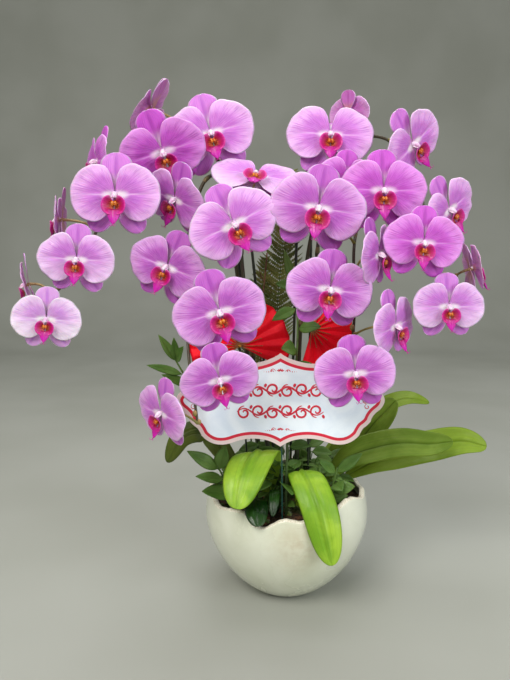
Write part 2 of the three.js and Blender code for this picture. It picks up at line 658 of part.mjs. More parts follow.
// A bare brown twig among the spikes
const TWIG = {
  route: [[-18, 8, 62], [-19, 8, 120], [-32, 14, 300], [-24, 20, 410]], radius: 1.6, tipRadius: 1.0,
};
place('twig', taperedStem(curveThrough(TWIG.route), 6, 5, TWIG.radius, TWIG.tipRadius), TWIG_FINISH);
drillHole(TWIG.route, circumscribed(TWIG.radius));

// Pleated paper fans, each on a thin stick
const FANS = {
  left_fan: {
    centre: [-56, -33, 305], radius: 58, from: -28, to: 222, pleats: 13,
    stick: [[-44, -28, 70], [-44.5, -28, 112], [-56, -24, 296]],
  },
  right_fan: {
    centre: [26, -33, 324], radius: 47, from: -105, to: 96, pleats: 10,
    stick: [[24, -26, 70], [24, -26, 112], [26, -24, 315]],
  },
};
const PLEAT = { hubRadius: 1.5, hubDepth: 1, depth: 5, thickness: 1.44, valleyShare: 0.97 };
const FAN_STICK = { radius: 1.3, steps: 8, hole: 1.7, inset: 8 };

/** A fan of folded paper in the XZ plane between two angles in degrees. */
function pleatedFan({ radius, from, to, pleats }) {
  const points = [];
  for (let k = 0; k <= 2 * pleats; k += 1) {
    const angle = radians(mix(from, to, k / (2 * pleats)));
    const fold = k % 2 === 0 ? 1 : -1;
    const rim = fold > 0 ? radius : radius * PLEAT.valleyShare;
    for (const [reach, depth] of [[PLEAT.hubRadius, PLEAT.hubDepth], [rim, PLEAT.depth]]) {
      for (const face of [-0.5, 0.5]) {
        const out = (fold * depth) / 2 + face * PLEAT.thickness;
        points.push(new THREE.Vector3(reach * Math.cos(angle), out, reach * Math.sin(angle)));
      }
    }
  }
  const faces = [];
  const addQuad = (a, b, c, d) => faces.push([a, b, c], [a, c, d]);
  for (let k = 0; k < 2 * pleats; k += 1) {
    const [a, b] = [4 * k, 4 * (k + 1)];
    addQuad(a, a + 2, b + 2, b);
    addQuad(a + 1, b + 1, b + 3, a + 3);
    addQuad(a + 2, a + 3, b + 3, b + 2);
    addQuad(a, b, b + 1, a + 1);
  }
  const end = 8 * pleats;
  addQuad(0, 1, 3, 2);
  addQuad(end, end + 2, end + 3, end + 1);
  return solid(geometryFrom(points, faces));
}
for (const [name, fan] of Object.entries(FANS)) {
  const disc = pleatedFan(fan).translate(fan.centre);
  const [x, y, z] = fan.centre;
  const stickCurve = curveThrough([...fan.stick, [x, y + 1, z + FAN_STICK.inset]]);
  place(name, disc.add(taperedStem(stickCurve, FAN_STICK.steps, 4, FAN_STICK.radius)), PAPER);
  drillHole(fan.stick, circumscribed(FAN_STICK.hole));
}

// Gift card: a scalloped plaque, the same on its left and right
function cardOutline() {
  const w = CARD.width / 2;
  const h = CARD.height / 2;
  const shape = new THREE.Shape();
  const curve = (x1, y1, x2, y2) => shape.quadraticCurveTo(x1 * w, y1 * h, x2 * w, y2 * h);
  shape.moveTo(0, h);
  curve(0.08, 0.86, 0.24, 0.79);
  curve(0.38, 0.74, 0.5, 0.86);
  curve(0.68, 1, 0.76, 0.72);
  curve(0.78, 0.6, 0.84, 0.56);
  curve(0.88, 0.5, 0.88, 0.42);
  curve(0.9, 0.26, 0.97, 0.16);
  curve(1.04, 0, 0.96, -0.2);
  curve(0.88, -0.32, 0.87, -0.46);
  curve(0.84, -0.54, 0.8, -0.6);
  curve(0.78, -0.66, 0.76, -0.76);
  curve(0.64, -1.06, 0.45, -0.9);
  curve(0.3, -0.78, 0.15, -0.85);
  curve(0.08, -0.88, 0, -1);
  const right = shape.getPoints(3);
  const left = right.slice(1, -1).reverse().map(({ x, y }) => new THREE.Vector2(-x, y));
  return new THREE.Shape([...right, ...left]);
}
const CARD_PLACE = { at: [-11, -76, 252], lean: 4 };
const plaque = new THREE.ExtrudeGeometry(cardOutline(), { depth: CARD.thickness, bevelEnabled: false });
plaque.translate(0, 0, -CARD.thickness / 2);
plaque.rotateX(radians(90 - CARD_PLACE.lean));
plaque.translate(...CARD_PLACE.at);
place('gift_card', solid(plaque), CARD_FINISH);

const WIRE = { route: [[-8, -70, 70], [-8, -70, 118], [-9, -71, 190], [-11, -72.5, 262]], radius: 1 };
place('card_wire', taperedStem(curveThrough(WIRE.route), 8, 6, WIRE.radius), STAKE_FINISH);
drillHole(WIRE.route, circumscribed(WIRE.radius));

// Potting mix: a mounded fill of the pot with the holes cut in it
function pottingMix() {
  const inset = POT.wall + MIX.slack;
  const azimuths = Array.from({ length: MIX.sides }, (_, i) => (360 * i) / MIX.sides);
  const topAt = (angle, share) => MIX.height + MIX.mound * (1 - share ** 2)
    + 2.2 * Math.sin(3 * angle + 1) * share + 1.6 * Math.sin(7 * angle) * share;
  const columns = azimuths.map((azimuth) => {
    const angle = radians(azimuth);
    const bottom = POT.floor + CLEARANCE;
    const top = topAt(angle, 1);
    const column = [0, 0.3, 0.64, 1].map((share) => {
      const height = mix(bottom, top, share);
      return [potRadiusAt(height) - inset, height];
    });
    [0.7, 0.36].forEach((share) => {
      column.push([share * (potRadiusAt(top) - inset), topAt(angle, share)]);
    });
    return column;
  });
  return solidOfColumns(columns, azimuths);
}
place('potting_mix', holes.reduce((fill, hole) => fill.subtract(hole), pottingMix()), MIX_FINISH);

export default object;
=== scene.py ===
"""Moth orchids in a glazed eggshell pot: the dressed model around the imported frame.

Shapes are worked out in millimetres in the frame's own axes, with +Z up and the viewer on the -Y side,
and become metres when a mesh is made. A blade is a grid of points on a thin leaf or petal, and a tube is
a grid of rings round a path.
"""
import logging
import math
from dataclasses import dataclass, field
from enum import Enum
from typing import Sequence

import bpy
import numpy as np
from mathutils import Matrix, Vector


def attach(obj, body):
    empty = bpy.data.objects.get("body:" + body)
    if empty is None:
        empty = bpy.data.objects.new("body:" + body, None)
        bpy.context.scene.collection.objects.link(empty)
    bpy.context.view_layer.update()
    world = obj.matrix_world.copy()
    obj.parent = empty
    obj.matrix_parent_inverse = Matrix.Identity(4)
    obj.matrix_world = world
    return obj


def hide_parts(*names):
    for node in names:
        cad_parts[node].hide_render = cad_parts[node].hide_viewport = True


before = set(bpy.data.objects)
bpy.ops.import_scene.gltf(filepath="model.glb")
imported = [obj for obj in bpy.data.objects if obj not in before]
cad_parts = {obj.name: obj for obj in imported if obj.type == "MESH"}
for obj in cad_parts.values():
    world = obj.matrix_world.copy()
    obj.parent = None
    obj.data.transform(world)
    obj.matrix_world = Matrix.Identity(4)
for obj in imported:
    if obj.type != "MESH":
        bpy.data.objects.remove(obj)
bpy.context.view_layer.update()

Array = np.ndarray
Colour = tuple[float, float, float]
Point = tuple[float, float, float]
Material = bpy.types.Material
Socket = bpy.types.NodeSocket
Finishes = dict[str, Material]
LOG = logging.getLogger("orchid")
MM = 0.001
ROOT = "root"
UV_NAME = "surface"
WELD = 1e4
FIRST_SEEDS = {"bloom": 100, "leaf": 300, "fern": 400}


# Numbers and curves

def unit(vectors: Array) -> Array:
    """Each vector divided by its length."""
    return vectors / np.maximum(np.linalg.norm(vectors, axis=-1, keepdims=True), 1e-12)


def even(count: int) -> Array:
    """Even shares from 0 to 1."""
    return np.linspace(0, 1, count)


def together(*arrays: Array) -> Array:
    """Arrays broadcast to one shape and stacked along a new last axis, such as x, y and z into points."""
    return np.stack(np.broadcast_arrays(*arrays), axis=-1)


def rotation(axis: int, angle: float) -> Array:
    """The matrix that turns by an angle in radians about axis 0, 1 or 2, by the right-hand rule."""
    matrix = np.eye(3)
    first, second = (axis + 1) % 3, (axis + 2) % 3
    matrix[first, first] = matrix[second, second] = math.cos(angle)
    matrix[first, second], matrix[second, first] = -math.sin(angle), math.sin(angle)
    return matrix


def smooth(value: Array, low: float, high: float) -> Array:
    """A step from 0 at low to 1 at high: 3t^2 - 2t^3 of the share t of the way."""
    t = np.clip((np.asarray(value, float) - low) / (high - low), 0.0, 1.0)
    return t * t * (3 - 2 * t)


def resample(path: Array, shares: Array) -> Array:
    """Points of a polyline at given shares of its length.

    Args:
        path: Points of the polyline, one row each.
        shares: Shares of the length, from 0 to 1.

    Returns:
        One point for each share.
    """
    steps = np.linalg.norm(np.diff(path, axis=0), axis=1)
    length = np.concatenate([[0.0], np.cumsum(steps)])
    return np.stack([np.interp(shares * length[-1], length, path[:, k]) for k in range(3)], axis=-1)


def curve_through(points: Sequence[Point]) -> Array:
    """A dense polyline of the centripetal Catmull-Rom curve through the points.

    Each span is the cubic with the ends' tangents, where a tangent weighs the chords on its two sides by
    the square root of their lengths.

    Args:
        points: The points that the curve passes through.

    Returns:
        The polyline's points.
    """
    p = np.asarray(points, float)
    p = np.vstack([2 * p[0] - p[1], p, 2 * p[-1] - p[-2]])
    chord = np.sqrt(np.linalg.norm(np.diff(p, axis=0), axis=1))[:, None]
    x0, x1, x2, x3 = p[:-3], p[1:-2], p[2:-1], p[3:]
    d0, d1, d2 = chord[:-2], chord[1:-1], chord[2:]
    t1 = ((x1 - x0) / d0 - (x2 - x0) / (d0 + d1) + (x2 - x1) / d1) * d1
    t2 = ((x2 - x1) / d1 - (x3 - x1) / (d1 + d2) + (x3 - x2) / d2) * d1
    u = np.linspace(0, 1, 48, endpoint=False)[None, :, None]
    a, b = t1[:, None], t2[:, None]
    start, end = x1[:, None], x2[:, None]
    cubic = start + a * u + (3 * (end - start) - 2 * a - b) * u**2 + (2 * (start - end) + a + b) * u**3
    return np.vstack([cubic.reshape(-1, 3), p[-2]])


def spaced(points: Sequence[Point], count: int) -> Array:
    """Evenly spaced points on the curve through the given ones."""
    return resample(curve_through(points), even(count))


def bezier(corners: Sequence[Array], count: int) -> Array:
    """Points of the cubic Bezier curve with four corners, at even steps of its parameter."""
    t = even(count)[:, None]
    a, b, c, d = (np.asarray(corner, float) for corner in corners)
    return (1 - t) ** 3 * a + 3 * (1 - t) ** 2 * t * b + 3 * (1 - t) * t**2 * c + t**3 * d


def ripples(rng: np.random.Generator, x: Array, y: Array, waves: int, size: float) -> Array:
    """A rough field of height about 1: a sum of plane waves with random directions and phases.

    Args:
        rng: The seeded source of the directions and phases.
        x: First coordinates.
        y: Second coordinates.
        waves: How many waves are added.
        size: The mean wavelength.

    Returns:
        The field at each place.
    """
    angle = rng.uniform(0, 2 * np.pi, waves)
    phase = rng.uniform(0, 2 * np.pi, waves)
    pitch = 2 * np.pi / (size * rng.uniform(0.6, 1.7, waves))
    along = x[..., None] * np.cos(angle) + y[..., None] * np.sin(angle)
    return np.sin(along * pitch + phase).sum(axis=-1) * math.sqrt(2 / waves)


def grid_normals(grid: Array) -> Array:
    """Unit normals of a grid: the cross product of its differences along rows and columns.

    A row that has shrunk to one point takes the normals of the row beside it.
    """
    normal = np.cross(np.gradient(grid, axis=0), np.gradient(grid, axis=1))
    length = np.linalg.norm(normal, axis=-1)
    floor = 1e-3 * np.median(length)
    for edge, inner in ((0, 1), (-1, -2)):
        normal[edge][length[edge] < floor] = normal[inner][length[edge] < floor]
    return unit(normal)


def tube(path: Array, radii: Array | float, sides: int = 10, blunt: float = 0.5) -> Array:
    """Rings round a path: centre + radius * (cos a * side + sin a * up), closed to a point at both ends.

    Args:
        path: The points of the middle line.
        radii: One radius, or one for each point.
        sides: Corners of a ring.
        blunt: How far each rounded end stands out, as a share of its radius.

    Returns:
        A grid with a row for each ring, whose last column repeats the first.
    """
    radii = np.broadcast_to(np.asarray(radii, float), len(path))
    tangent = unit(np.gradient(path, axis=0))
    cap = np.radians([0, 35, 65])
    ends = []
    for end, sign in ((0, -1), (-1, 1)):
        out = (np.cos(cap) * blunt * radii[end])[:, None] * tangent[end] * sign
        ends.append((path[end] + out, np.sin(cap) * radii[end]))
    (head, head_radii), (tail, tail_radii) = ends
    path = np.vstack([head, path, tail[::-1]])
    radii = np.concatenate([head_radii, radii, tail_radii[::-1]])
    tangent = np.vstack([np.repeat(tangent[:1], 3, 0), tangent, np.repeat(tangent[-1:], 3, 0)])
    reference = np.linalg.svd(tangent)[2][-1]
    side = unit(np.cross(tangent, reference))
    up = np.cross(side, tangent)
    angle = np.linspace(0, 2 * np.pi, sides + 1)[None, :, None]
    ring = np.cos(angle) * side[:, None] + np.sin(angle) * up[:, None]
    return path[:, None] + radii[:, None, None] * ring


def ellipsoid(centre: Point, radii: Point, rows: int = 10, sides: int = 14) -> Array:
    """A grid over an ellipsoid, from its lower pole to its upper one, that faces out."""
    polar = np.linspace(-np.pi / 2, np.pi / 2, rows)[:, None]
    around = np.linspace(0, -2 * np.pi, sides + 1)[None, :]
    x = np.cos(polar) * np.cos(around)
    y = np.cos(polar) * np.sin(around)
    z = np.sin(polar) * np.ones_like(around)
    return np.asarray(centre, float) + np.stack([x, y, z], axis=-1) * np.asarray(radii, float)


# Meshes

def even_uv(rows: int, columns: int) -> Array:
    """Surface coordinates of a grid: even shares across and along."""
    return np.stack(np.meshgrid(even(columns), even(rows)), axis=-1)


def grid_quads(rows: int, columns: int) -> Array:
    """Corner indices of a grid's quads, which face along the cross product of its rows and columns."""
    index = np.arange(rows * columns).reshape(rows, columns)
    corners = [index[:-1, :-1], index[1:, :-1], index[1:, 1:], index[:-1, 1:]]
    return np.stack(corners, axis=-1).reshape(-1, 4)


def new_object(name: str, data: bpy.types.ID) -> bpy.types.Object:
    """A new object in the scene, at the origin."""
    made = bpy.data.objects.new(name, data)
    bpy.context.scene.collection.objects.link(made)
    return made


@dataclass
class MeshParts:
    """The patches of one piece, gathered until they become one mesh.

    Attributes:
        points: The vertices of each patch.
        quads: Corner indices of each patch's faces; a triangle repeats a corner.
        uvs: Surface coordinates of each corner.
        slots: Material index of each face.
        count: How many points there are so far.
    """

    points: list[Array] = field(default_factory=list)
    quads: list[Array] = field(default_factory=list)
    uvs: list[Array] = field(default_factory=list)
    slots: list[Array] = field(default_factory=list)
    count: int = 0

    def add_grid(self, grid: Array, slot: int = 0, uv: Array | None = None, flip: bool = False) -> None:
        """Adds a grid as quads that face along the cross product of its rows and columns.

        Args:
            grid: Points, rows by columns.
            slot: Material index.
            uv: Surface coordinates of each point; even shares across and along where left out.
            flip: Whether the faces point the other way.
        """
        rows, columns = grid.shape[:2]
        quads = grid_quads(rows, columns)
        uv = even_uv(rows, columns) if uv is None else uv
        self._keep(grid.reshape(-1, 3), [(quads[:, ::-1] if flip else quads, slot)], uv.reshape(-1, 2))

    def add_blade(self, grid: Array, thickness: float, slots: tuple[int, int] = (0, 0),
                  uv: Array | None = None, power: float = 8.0) -> None:
        """Adds a thin closed blade whose faces meet along the rim of its grid.

        Its half thickness is thickness / 2 * sqrt((1 - |a|^power) * (1 - |b|^power)), where a and b run
        from -1 to 1 along the rows and the columns.

        Args:
            grid: Points on the middle surface, rows by columns.
            thickness: Thickness at the middle.
            slots: Material indices of the front, along the normals, and of the back.
            uv: Surface coordinates of each point.
            power: How squarely the blade keeps its thickness towards the rim.
        """
        rows, columns = grid.shape[:2]
        a = 1 - np.abs(np.linspace(-1, 1, rows)) ** power
        b = 1 - np.abs(np.linspace(-1, 1, columns)) ** power
        half = 0.5 * thickness * np.sqrt(np.outer(a, b))[..., None] * grid_normals(grid)
        both = np.stack([grid + half, grid - half])
        quads = grid_quads(rows, columns)
        uv = even_uv(rows, columns) if uv is None else uv
        faces = [(quads, slots[0]), (quads[:, ::-1] + rows * columns, slots[1])]
        self._keep(both.reshape(-1, 3), faces, np.concatenate([uv.reshape(-1, 2)] * 2))

    def _keep(self, flat: Array, faces: Sequence[tuple[Array, int]], uv: Array) -> None:
        """Keeps a patch, with coinciding points as one.

        Args:
            flat: Its points.
            faces: Sets of quads, each with its material index.
            uv: Surface coordinates of each point.
        """
        _, first, back = np.unique(
            np.round(flat * WELD).astype(np.int64), axis=0, return_index=True, return_inverse=True)
        self.points.append(flat[first])
        for quads, slot in faces:
            self.quads.append(back.reshape(-1)[quads] + self.count)
            self.uvs.append(uv[quads])
            self.slots.append(np.full(len(quads), slot))
        self.count += len(first)

    def build(self, name: str, materials: Sequence[Material], slot: str,
              replaces: Sequence[str] = ()) -> bpy.types.Object:
        """Makes the mesh object, in metres, on the root body, and hides the CAD nodes that it stands for.

        Args:
            name: The piece's name.
            materials: One material for each index in use.
            slot: The record's material slot that the piece takes its finish from; not used.
            replaces: The CAD nodes that it stands for.

        Returns:
            The new object, riding on the root body.
        """
        quads = np.concatenate(self.quads)
        uvs = np.concatenate(self.uvs)
        slots = np.concatenate(self.slots)
        keep = quads != np.roll(quads, -1, axis=1)
        whole = keep.sum(axis=1) >= 3
        quads, uvs, slots, keep = quads[whole], uvs[whole], slots[whole], keep[whole]
        sizes = keep.sum(axis=1)
        mesh = bpy.data.meshes.new(name)
        mesh.vertices.add(self.count)
        mesh.vertices.foreach_set("co", (np.concatenate(self.points) * MM).ravel())
        mesh.loops.add(int(sizes.sum()))
        mesh.loops.foreach_set("vertex_index", quads[keep].astype(np.int32))
        mesh.polygons.add(len(quads))
        starts = np.concatenate([[0], np.cumsum(sizes)[:-1]]).astype(np.int32)
        mesh.polygons.foreach_set("loop_start", starts)
        mesh.polygons.foreach_set("material_index", slots.astype(np.int32))
        mesh.polygons.foreach_set("use_smooth", np.ones(len(quads), bool))
        layer = mesh.uv_layers.new(name=UV_NAME)
        layer.uv.foreach_set("vector", uvs[keep].astype(np.float32).ravel())
        mesh.update(calc_edges=True)
        mesh.validate()
        for material in materials:
            mesh.materials.append(material)
        piece = new_object(name, mesh)
        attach(piece, ROOT)
        if replaces:
            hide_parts(*replaces)
        LOG.info("%s: %d faces", name, len(mesh.polygons))
        return piece


# Materials

def srgb(colour: Colour) -> tuple[float, float, float, float]:
    """A colour in 0 to 255 as linear light with an alpha of 1: ((c + 0.055) / 1.055)^2.4 above the toe."""
    c = np.asarray(colour, float) / 255
    linear = np.where(c <= 0.04045, c / 12.92, ((c + 0.055) / 1.055) ** 2.4)
    return (*linear.tolist(), 1.0)


class Graph:
    """A material's node tree, written as a chain of expressions."""

    def __init__(self, name: str) -> None:
        """Starts an empty material with a Principled shader."""
        self.material = bpy.data.materials.new(name)
        self.material.use_nodes = True
        self.tree = self.material.node_tree
        self.tree.nodes.clear()
        self.shader = self.tree.nodes.new("ShaderNodeBsdfPrincipled")
        output = self.tree.nodes.new("ShaderNodeOutputMaterial")
        self.tree.links.new(self.shader.outputs[0], output.inputs[0])

    def _feed(self, socket: Socket, value: object) -> None:
        """Links a socket to another one, or sets its value."""
        if isinstance(value, Socket):
            self.tree.links.new(value, socket)
        else:
            socket.default_value = value

    def uv(self) -> Socket:
        """The piece's own surface coordinates: across and along."""
        node = self.tree.nodes.new("ShaderNodeUVMap")
        node.uv_map = UV_NAME
        return node.outputs[0]

    def place(self) -> Socket:
        """Object coordinates, in metres."""
        return self.tree.nodes.new("ShaderNodeTexCoord").outputs["Object"]

    def stretched(self, vector: Socket, scale: Point, shift: Point = (0, 0, 0)) -> Socket:
        """A vector scaled along each axis and then moved."""
        node = self.tree.nodes.new("ShaderNodeMapping")
        self._feed(node.inputs["Vector"], vector)
        node.inputs["Scale"].default_value = scale
        node.inputs["Location"].default_value = shift
        return node.outputs[0]

    def axis(self, vector: Socket, name: str) -> Socket:
        """One coordinate of a vector, named X, Y or Z."""
        node = self.tree.nodes.new("ShaderNodeSeparateXYZ")
        self._feed(node.inputs[0], vector)
        return node.outputs[name]

    def sheet(self) -> tuple[Socket, Socket, Socket]:
        """The surface coordinates, and the shares across and along a blade."""
        uv = self.uv()
        return uv, self.axis(uv, "X"), self.axis(uv, "Y")

    def noise(self, vector: Socket, scale: float, detail: float = 3.0, distortion: float = 0.0) -> Socket:
        """Noise from 0 to 1 about 0.5."""
        node = self.tree.nodes.new("ShaderNodeTexNoise")
        self._feed(node.inputs["Vector"], vector)
        node.inputs["Scale"].default_value = scale
        node.inputs["Detail"].default_value = detail
        node.inputs["Distortion"].default_value = distortion
        return node.outputs[0]

    def streaks(self, vector: Socket, scale: Point, detail: float = 3.0, distortion: float = 0.0,
                shift: Point = (0, 0, 0)) -> Socket:
        """Noise that is scaled along each axis, and so drawn out along the smaller scales."""
        return self.noise(self.stretched(vector, scale, shift), 1.0, detail, distortion)

    def cells(self, vector: Socket, scale: float, feature: str = "F1") -> Socket:
        """Distance in a pattern of cells: to the nearest point, or to the nearest edge."""
        node = self.tree.nodes.new("ShaderNodeTexVoronoi")
        node.feature = feature
        self._feed(node.inputs["Vector"], vector)
        node.inputs["Scale"].default_value = scale
        return node.outputs["Distance"]

    def maths(self, operation: str, first: object, second: object = 0.0, clamp: bool = False) -> Socket:
        """One operation on two values."""
        node = self.tree.nodes.new("ShaderNodeMath")
        node.operation = operation
        node.use_clamp = clamp
        self._feed(node.inputs[0], first)
        self._feed(node.inputs[1], second)
        return node.outputs[0]

    def times(self, first: object, second: object, clamp: bool = False) -> Socket:
        """The product of two values."""
        return self.maths("MULTIPLY", first, second, clamp)

    def plus(self, first: object, second: object) -> Socket:
        """The sum of two values."""
        return self.maths("ADD", first, second)

    def minus(self, first: object, second: object) -> Socket:
        """The first value less the second."""
        return self.maths("SUBTRACT", first, second)

    def off(self, value: object, centre: float) -> Socket:
        """How far a value is from the centre, on either side."""
        return self.maths("ABSOLUTE", self.minus(value, centre))

    def level(self, value: object, low: float, high: float, start: float = 0.0, end: float = 1.0) -> Socket:
        """A smooth ramp from start where the value is low to end where it is high."""
        node = self.tree.nodes.new("ShaderNodeMapRange")
        node.interpolation_type = "SMOOTHSTEP"
        for name, number in zip(("From Min", "From Max", "To Min", "To Max"), (low, high, start, end)):
            node.inputs[name].default_value = number
        self._feed(node.inputs["Value"], value)
        return node.outputs[0]

    def near(self, value: object, centre: float, width: float) -> Socket:
        """1 where the value is at the centre, falling to 0 a width away on either side."""
        return self.level(self.off(value, centre), 0.0, width, 1.0, 0.0)

    def ramp(self, value: object, stops: Sequence[tuple[float, Colour]]) -> Socket:
        """Colours along a value from 0 to 1."""
        node = self.tree.nodes.new("ShaderNodeValToRGB")
        band = node.color_ramp
        band.interpolation = "EASE"
        while len(band.elements) < len(stops):
            band.elements.new(1.0)
        for element, (position, colour) in zip(band.elements, stops):
            element.position = position
            element.color = srgb(colour)
        self._feed(node.inputs[0], value)
        return node.outputs[0]

    def mixed(self, share: object, first: object, second: object) -> Socket:
        """The first colour with a share of the second; a plain colour is given in 0 to 255."""
        node = self.tree.nodes.new("ShaderNodeMix")
        node.data_type = "RGBA"
        self._feed(node.inputs[0], share)
        for socket, colour in ((node.inputs[6], first), (node.inputs[7], second)):
            self._feed(socket, srgb(colour) if isinstance(colour, tuple) else colour)
        return node.outputs[2]

    def bump(self, height: Socket, distance: float, strength: float = 1.0) -> None:
        """Gives the shader a bump of that height in metres."""
        node = self.tree.nodes.new("ShaderNodeBump")
        node.inputs["Distance"].default_value = distance
        node.inputs["Strength"].default_value = strength
        self._feed(node.inputs["Height"], height)
        self.tree.links.new(node.outputs[0], self.shader.inputs["Normal"])

    def finish(self, colour: object, roughness: object, **constants: float) -> Material:
        """Sets the shader's colour, roughness and constant sockets.

        Args:
            colour: A socket, or a colour in 0 to 255.
            roughness: A socket or a number.
            **constants: Numbers for other sockets, such as Coat_Weight.

        Returns:
            The finished material.
        """
        self._feed(self.shader.inputs["Base Color"], srgb(colour) if isinstance(colour, tuple) else colour)
        self._feed(self.shader.inputs["Roughness"], roughness)
        for name, number in constants.items():
            self.shader.inputs[name.replace("_", " ")].default_value = number
        return self.material


@dataclass(frozen=True)
class PetalFinish:
    """The face or the back of petals and sepals: a pale claw, a tinted body with veins and a light rim.

    Attributes:
        name: The material's name.
        body: The main colour.
        deep: The colour of the darkest zones and of the veins, also used for painted shade.
        rim: The colour of the rim, also used for the painted highlight along the midline.
        claw: The colour where the blade meets the column.
        veins: How strongly the veins show.
        bleach: How white the lower half of a petal is.
    """

    name: str
    body: Colour
    deep: Colour
    rim: Colour
    claw: Colour
    veins: float = 0.5
    bleach: float = 0.0

    def petal(self) -> Material:
        """Veins fan out from the claw: noise that is fine across the petal and long along it."""
        g = Graph(f"{self.name}_petal")
        uv, across, along = g.sheet()
        fan = g.streaks(uv, (84, 1.5, 1), 4.0, 0.2)
        fine = g.streaks(uv, (170, 3.5, 1), 2.0, 0.4, (3, 7, 0))
        mottle = g.noise(g.place(), 55.0, 3.0, 0.5)
        base = g.mixed(g.level(along, 0.5, 0.98, 0.0, 0.5), self.body, self.rim)
        # Deeper purple zones below and above the midline, broken by mottle: the petal's own colour, and in
        # the lower zone also painted shade of the half below the crease, which faces down.
        low = g.times(g.near(across, 0.34, 0.22), g.near(along, 0.4, 0.36))
        high = g.times(g.near(across, 0.66, 0.26), g.near(along, 0.44, 0.4))
        zone = g.plus(low, g.times(high, 0.7))
        zone = g.times(zone, g.level(mottle, 0.3, 0.7, 0.35, 0.95), clamp=True)
        colour = g.mixed(g.times(zone, 0.7), base, self.deep)
        vein = g.plus(g.level(fan, 0.53, 0.64), g.times(g.level(fine, 0.5, 0.7), 0.6))
        inside = g.times(g.level(along, 0.08, 0.24), g.level(along, 0.82, 0.98, 1.0, 0.0))
        vein = g.times(g.times(vein, inside), self.veins, clamp=True)
        colour = g.mixed(vein, colour, self.deep)
        pale_line = g.times(g.level(fine, 0.5, 0.3), g.level(along, 0.1, 0.5, 0.45, 0.2))
        colour = g.mixed(pale_line, colour, self.rim)
        lower = g.times(g.level(across, 0.5, 0.36), self.bleach)
        colour = g.mixed(lower, colour, self.rim)
        reach = g.times(g.near(across, 0.475, 0.3), 0.14)
        edge = g.minus(g.minus(along, reach), g.times(fan, 0.1))
        colour = g.mixed(g.level(edge, -0.02, 0.17, 1.0, 0.0), colour, self.claw)
        # Painted highlight: a light line along the midline crease, strongest near the claw.
        midline = g.times(g.near(across, 0.475, 0.022), g.level(along, 0.95, 0.3))
        colour = g.mixed(g.times(midline, 0.5), colour, self.rim)
        colour = g.mixed(g.level(along, 0.955, 0.985, 0.0, 0.85), colour, self.rim)
        g.bump(g.plus(fan, g.times(fine, 0.5)), 0.0007, 0.8)
        return g.finish(colour, g.level(fine, 0.2, 0.8, 0.4, 0.58), Subsurface_Weight=0.1,
                        Subsurface_Scale=0.003, Sheen_Weight=0.06, Coat_Weight=0.04)

    def sepal(self) -> Material:
        """Veins run along the sepal, with a light rim on both sides and at the tip."""
        g = Graph(f"{self.name}_sepal")
        uv, across, along = g.sheet()
        side = g.off(across, 0.5)
        base = g.ramp(along, [(0.0, self.claw), (0.12, self.claw), (0.4, self.body), (0.9, self.body),
                              (0.985, self.rim)])
        colour = g.mixed(g.level(side, 0.42, 0.49), base, self.rim)
        stripes = g.streaks(uv, (26, 1.3, 1), 3.0, 0.2)
        fine = g.streaks(uv, (80, 4.0, 1), 2.0, 0.3, (5, 2, 0))
        vein = g.plus(g.level(stripes, 0.5, 0.66), g.times(g.level(fine, 0.5, 0.75), 0.4))
        inside = g.times(g.level(along, 0.02, 0.12), g.level(along, 0.75, 0.95, 1.0, 0.0))
        vein = g.times(g.times(vein, inside), self.veins, clamp=True)
        colour = g.mixed(vein, colour, self.deep)
        middle = g.times(g.near(across, 0.5, 0.13), g.near(along, 0.55, 0.5))
        colour = g.mixed(g.times(middle, 0.65), colour, self.deep)
        # Painted shade along the sepal's middle groove and the grooves beside it, strongest near the base.
        crease_shade = g.plus(g.near(across, 0.5, 0.02), g.near(side, 0.26, 0.025))
        colour = g.mixed(g.times(crease_shade, g.level(along, 0.5, 0.05, 0.0, 0.5)), colour, self.deep)
        g.bump(stripes, 0.0007, 0.8)
        return g.finish(colour, 0.48, Subsurface_Weight=0.1, Subsurface_Scale=0.003, Sheen_Weight=0.06,
                        Coat_Weight=0.04)


class BloomTone(Enum):
    """How strongly a bloom is coloured."""

    BLUSH = PetalFinish("blush", (212, 158, 220), (172, 88, 200), (244, 236, 244), (246, 240, 246), 0.4, 0.5)
    PALE = PetalFinish("pale", (204, 124, 212), (160, 64, 182), (240, 218, 242), (246, 234, 246), 0.5, 0.3)
    LIGHT = PetalFinish("light", (208, 120, 214), (164, 62, 184), (240, 210, 242), (246, 234, 246), 0.5)
    LILAC = PetalFinish("lilac", (192, 96, 198), (150, 42, 166), (234, 196, 238), (246, 230, 246), 0.5)
    DEEP = PetalFinish("deep", (202, 82, 206), (152, 26, 158), (232, 172, 234), (244, 218, 244), 0.5)


BACK = PetalFinish("back", (200, 112, 196), (168, 66, 160), (232, 190, 232), (204, 136, 142), 0.45)


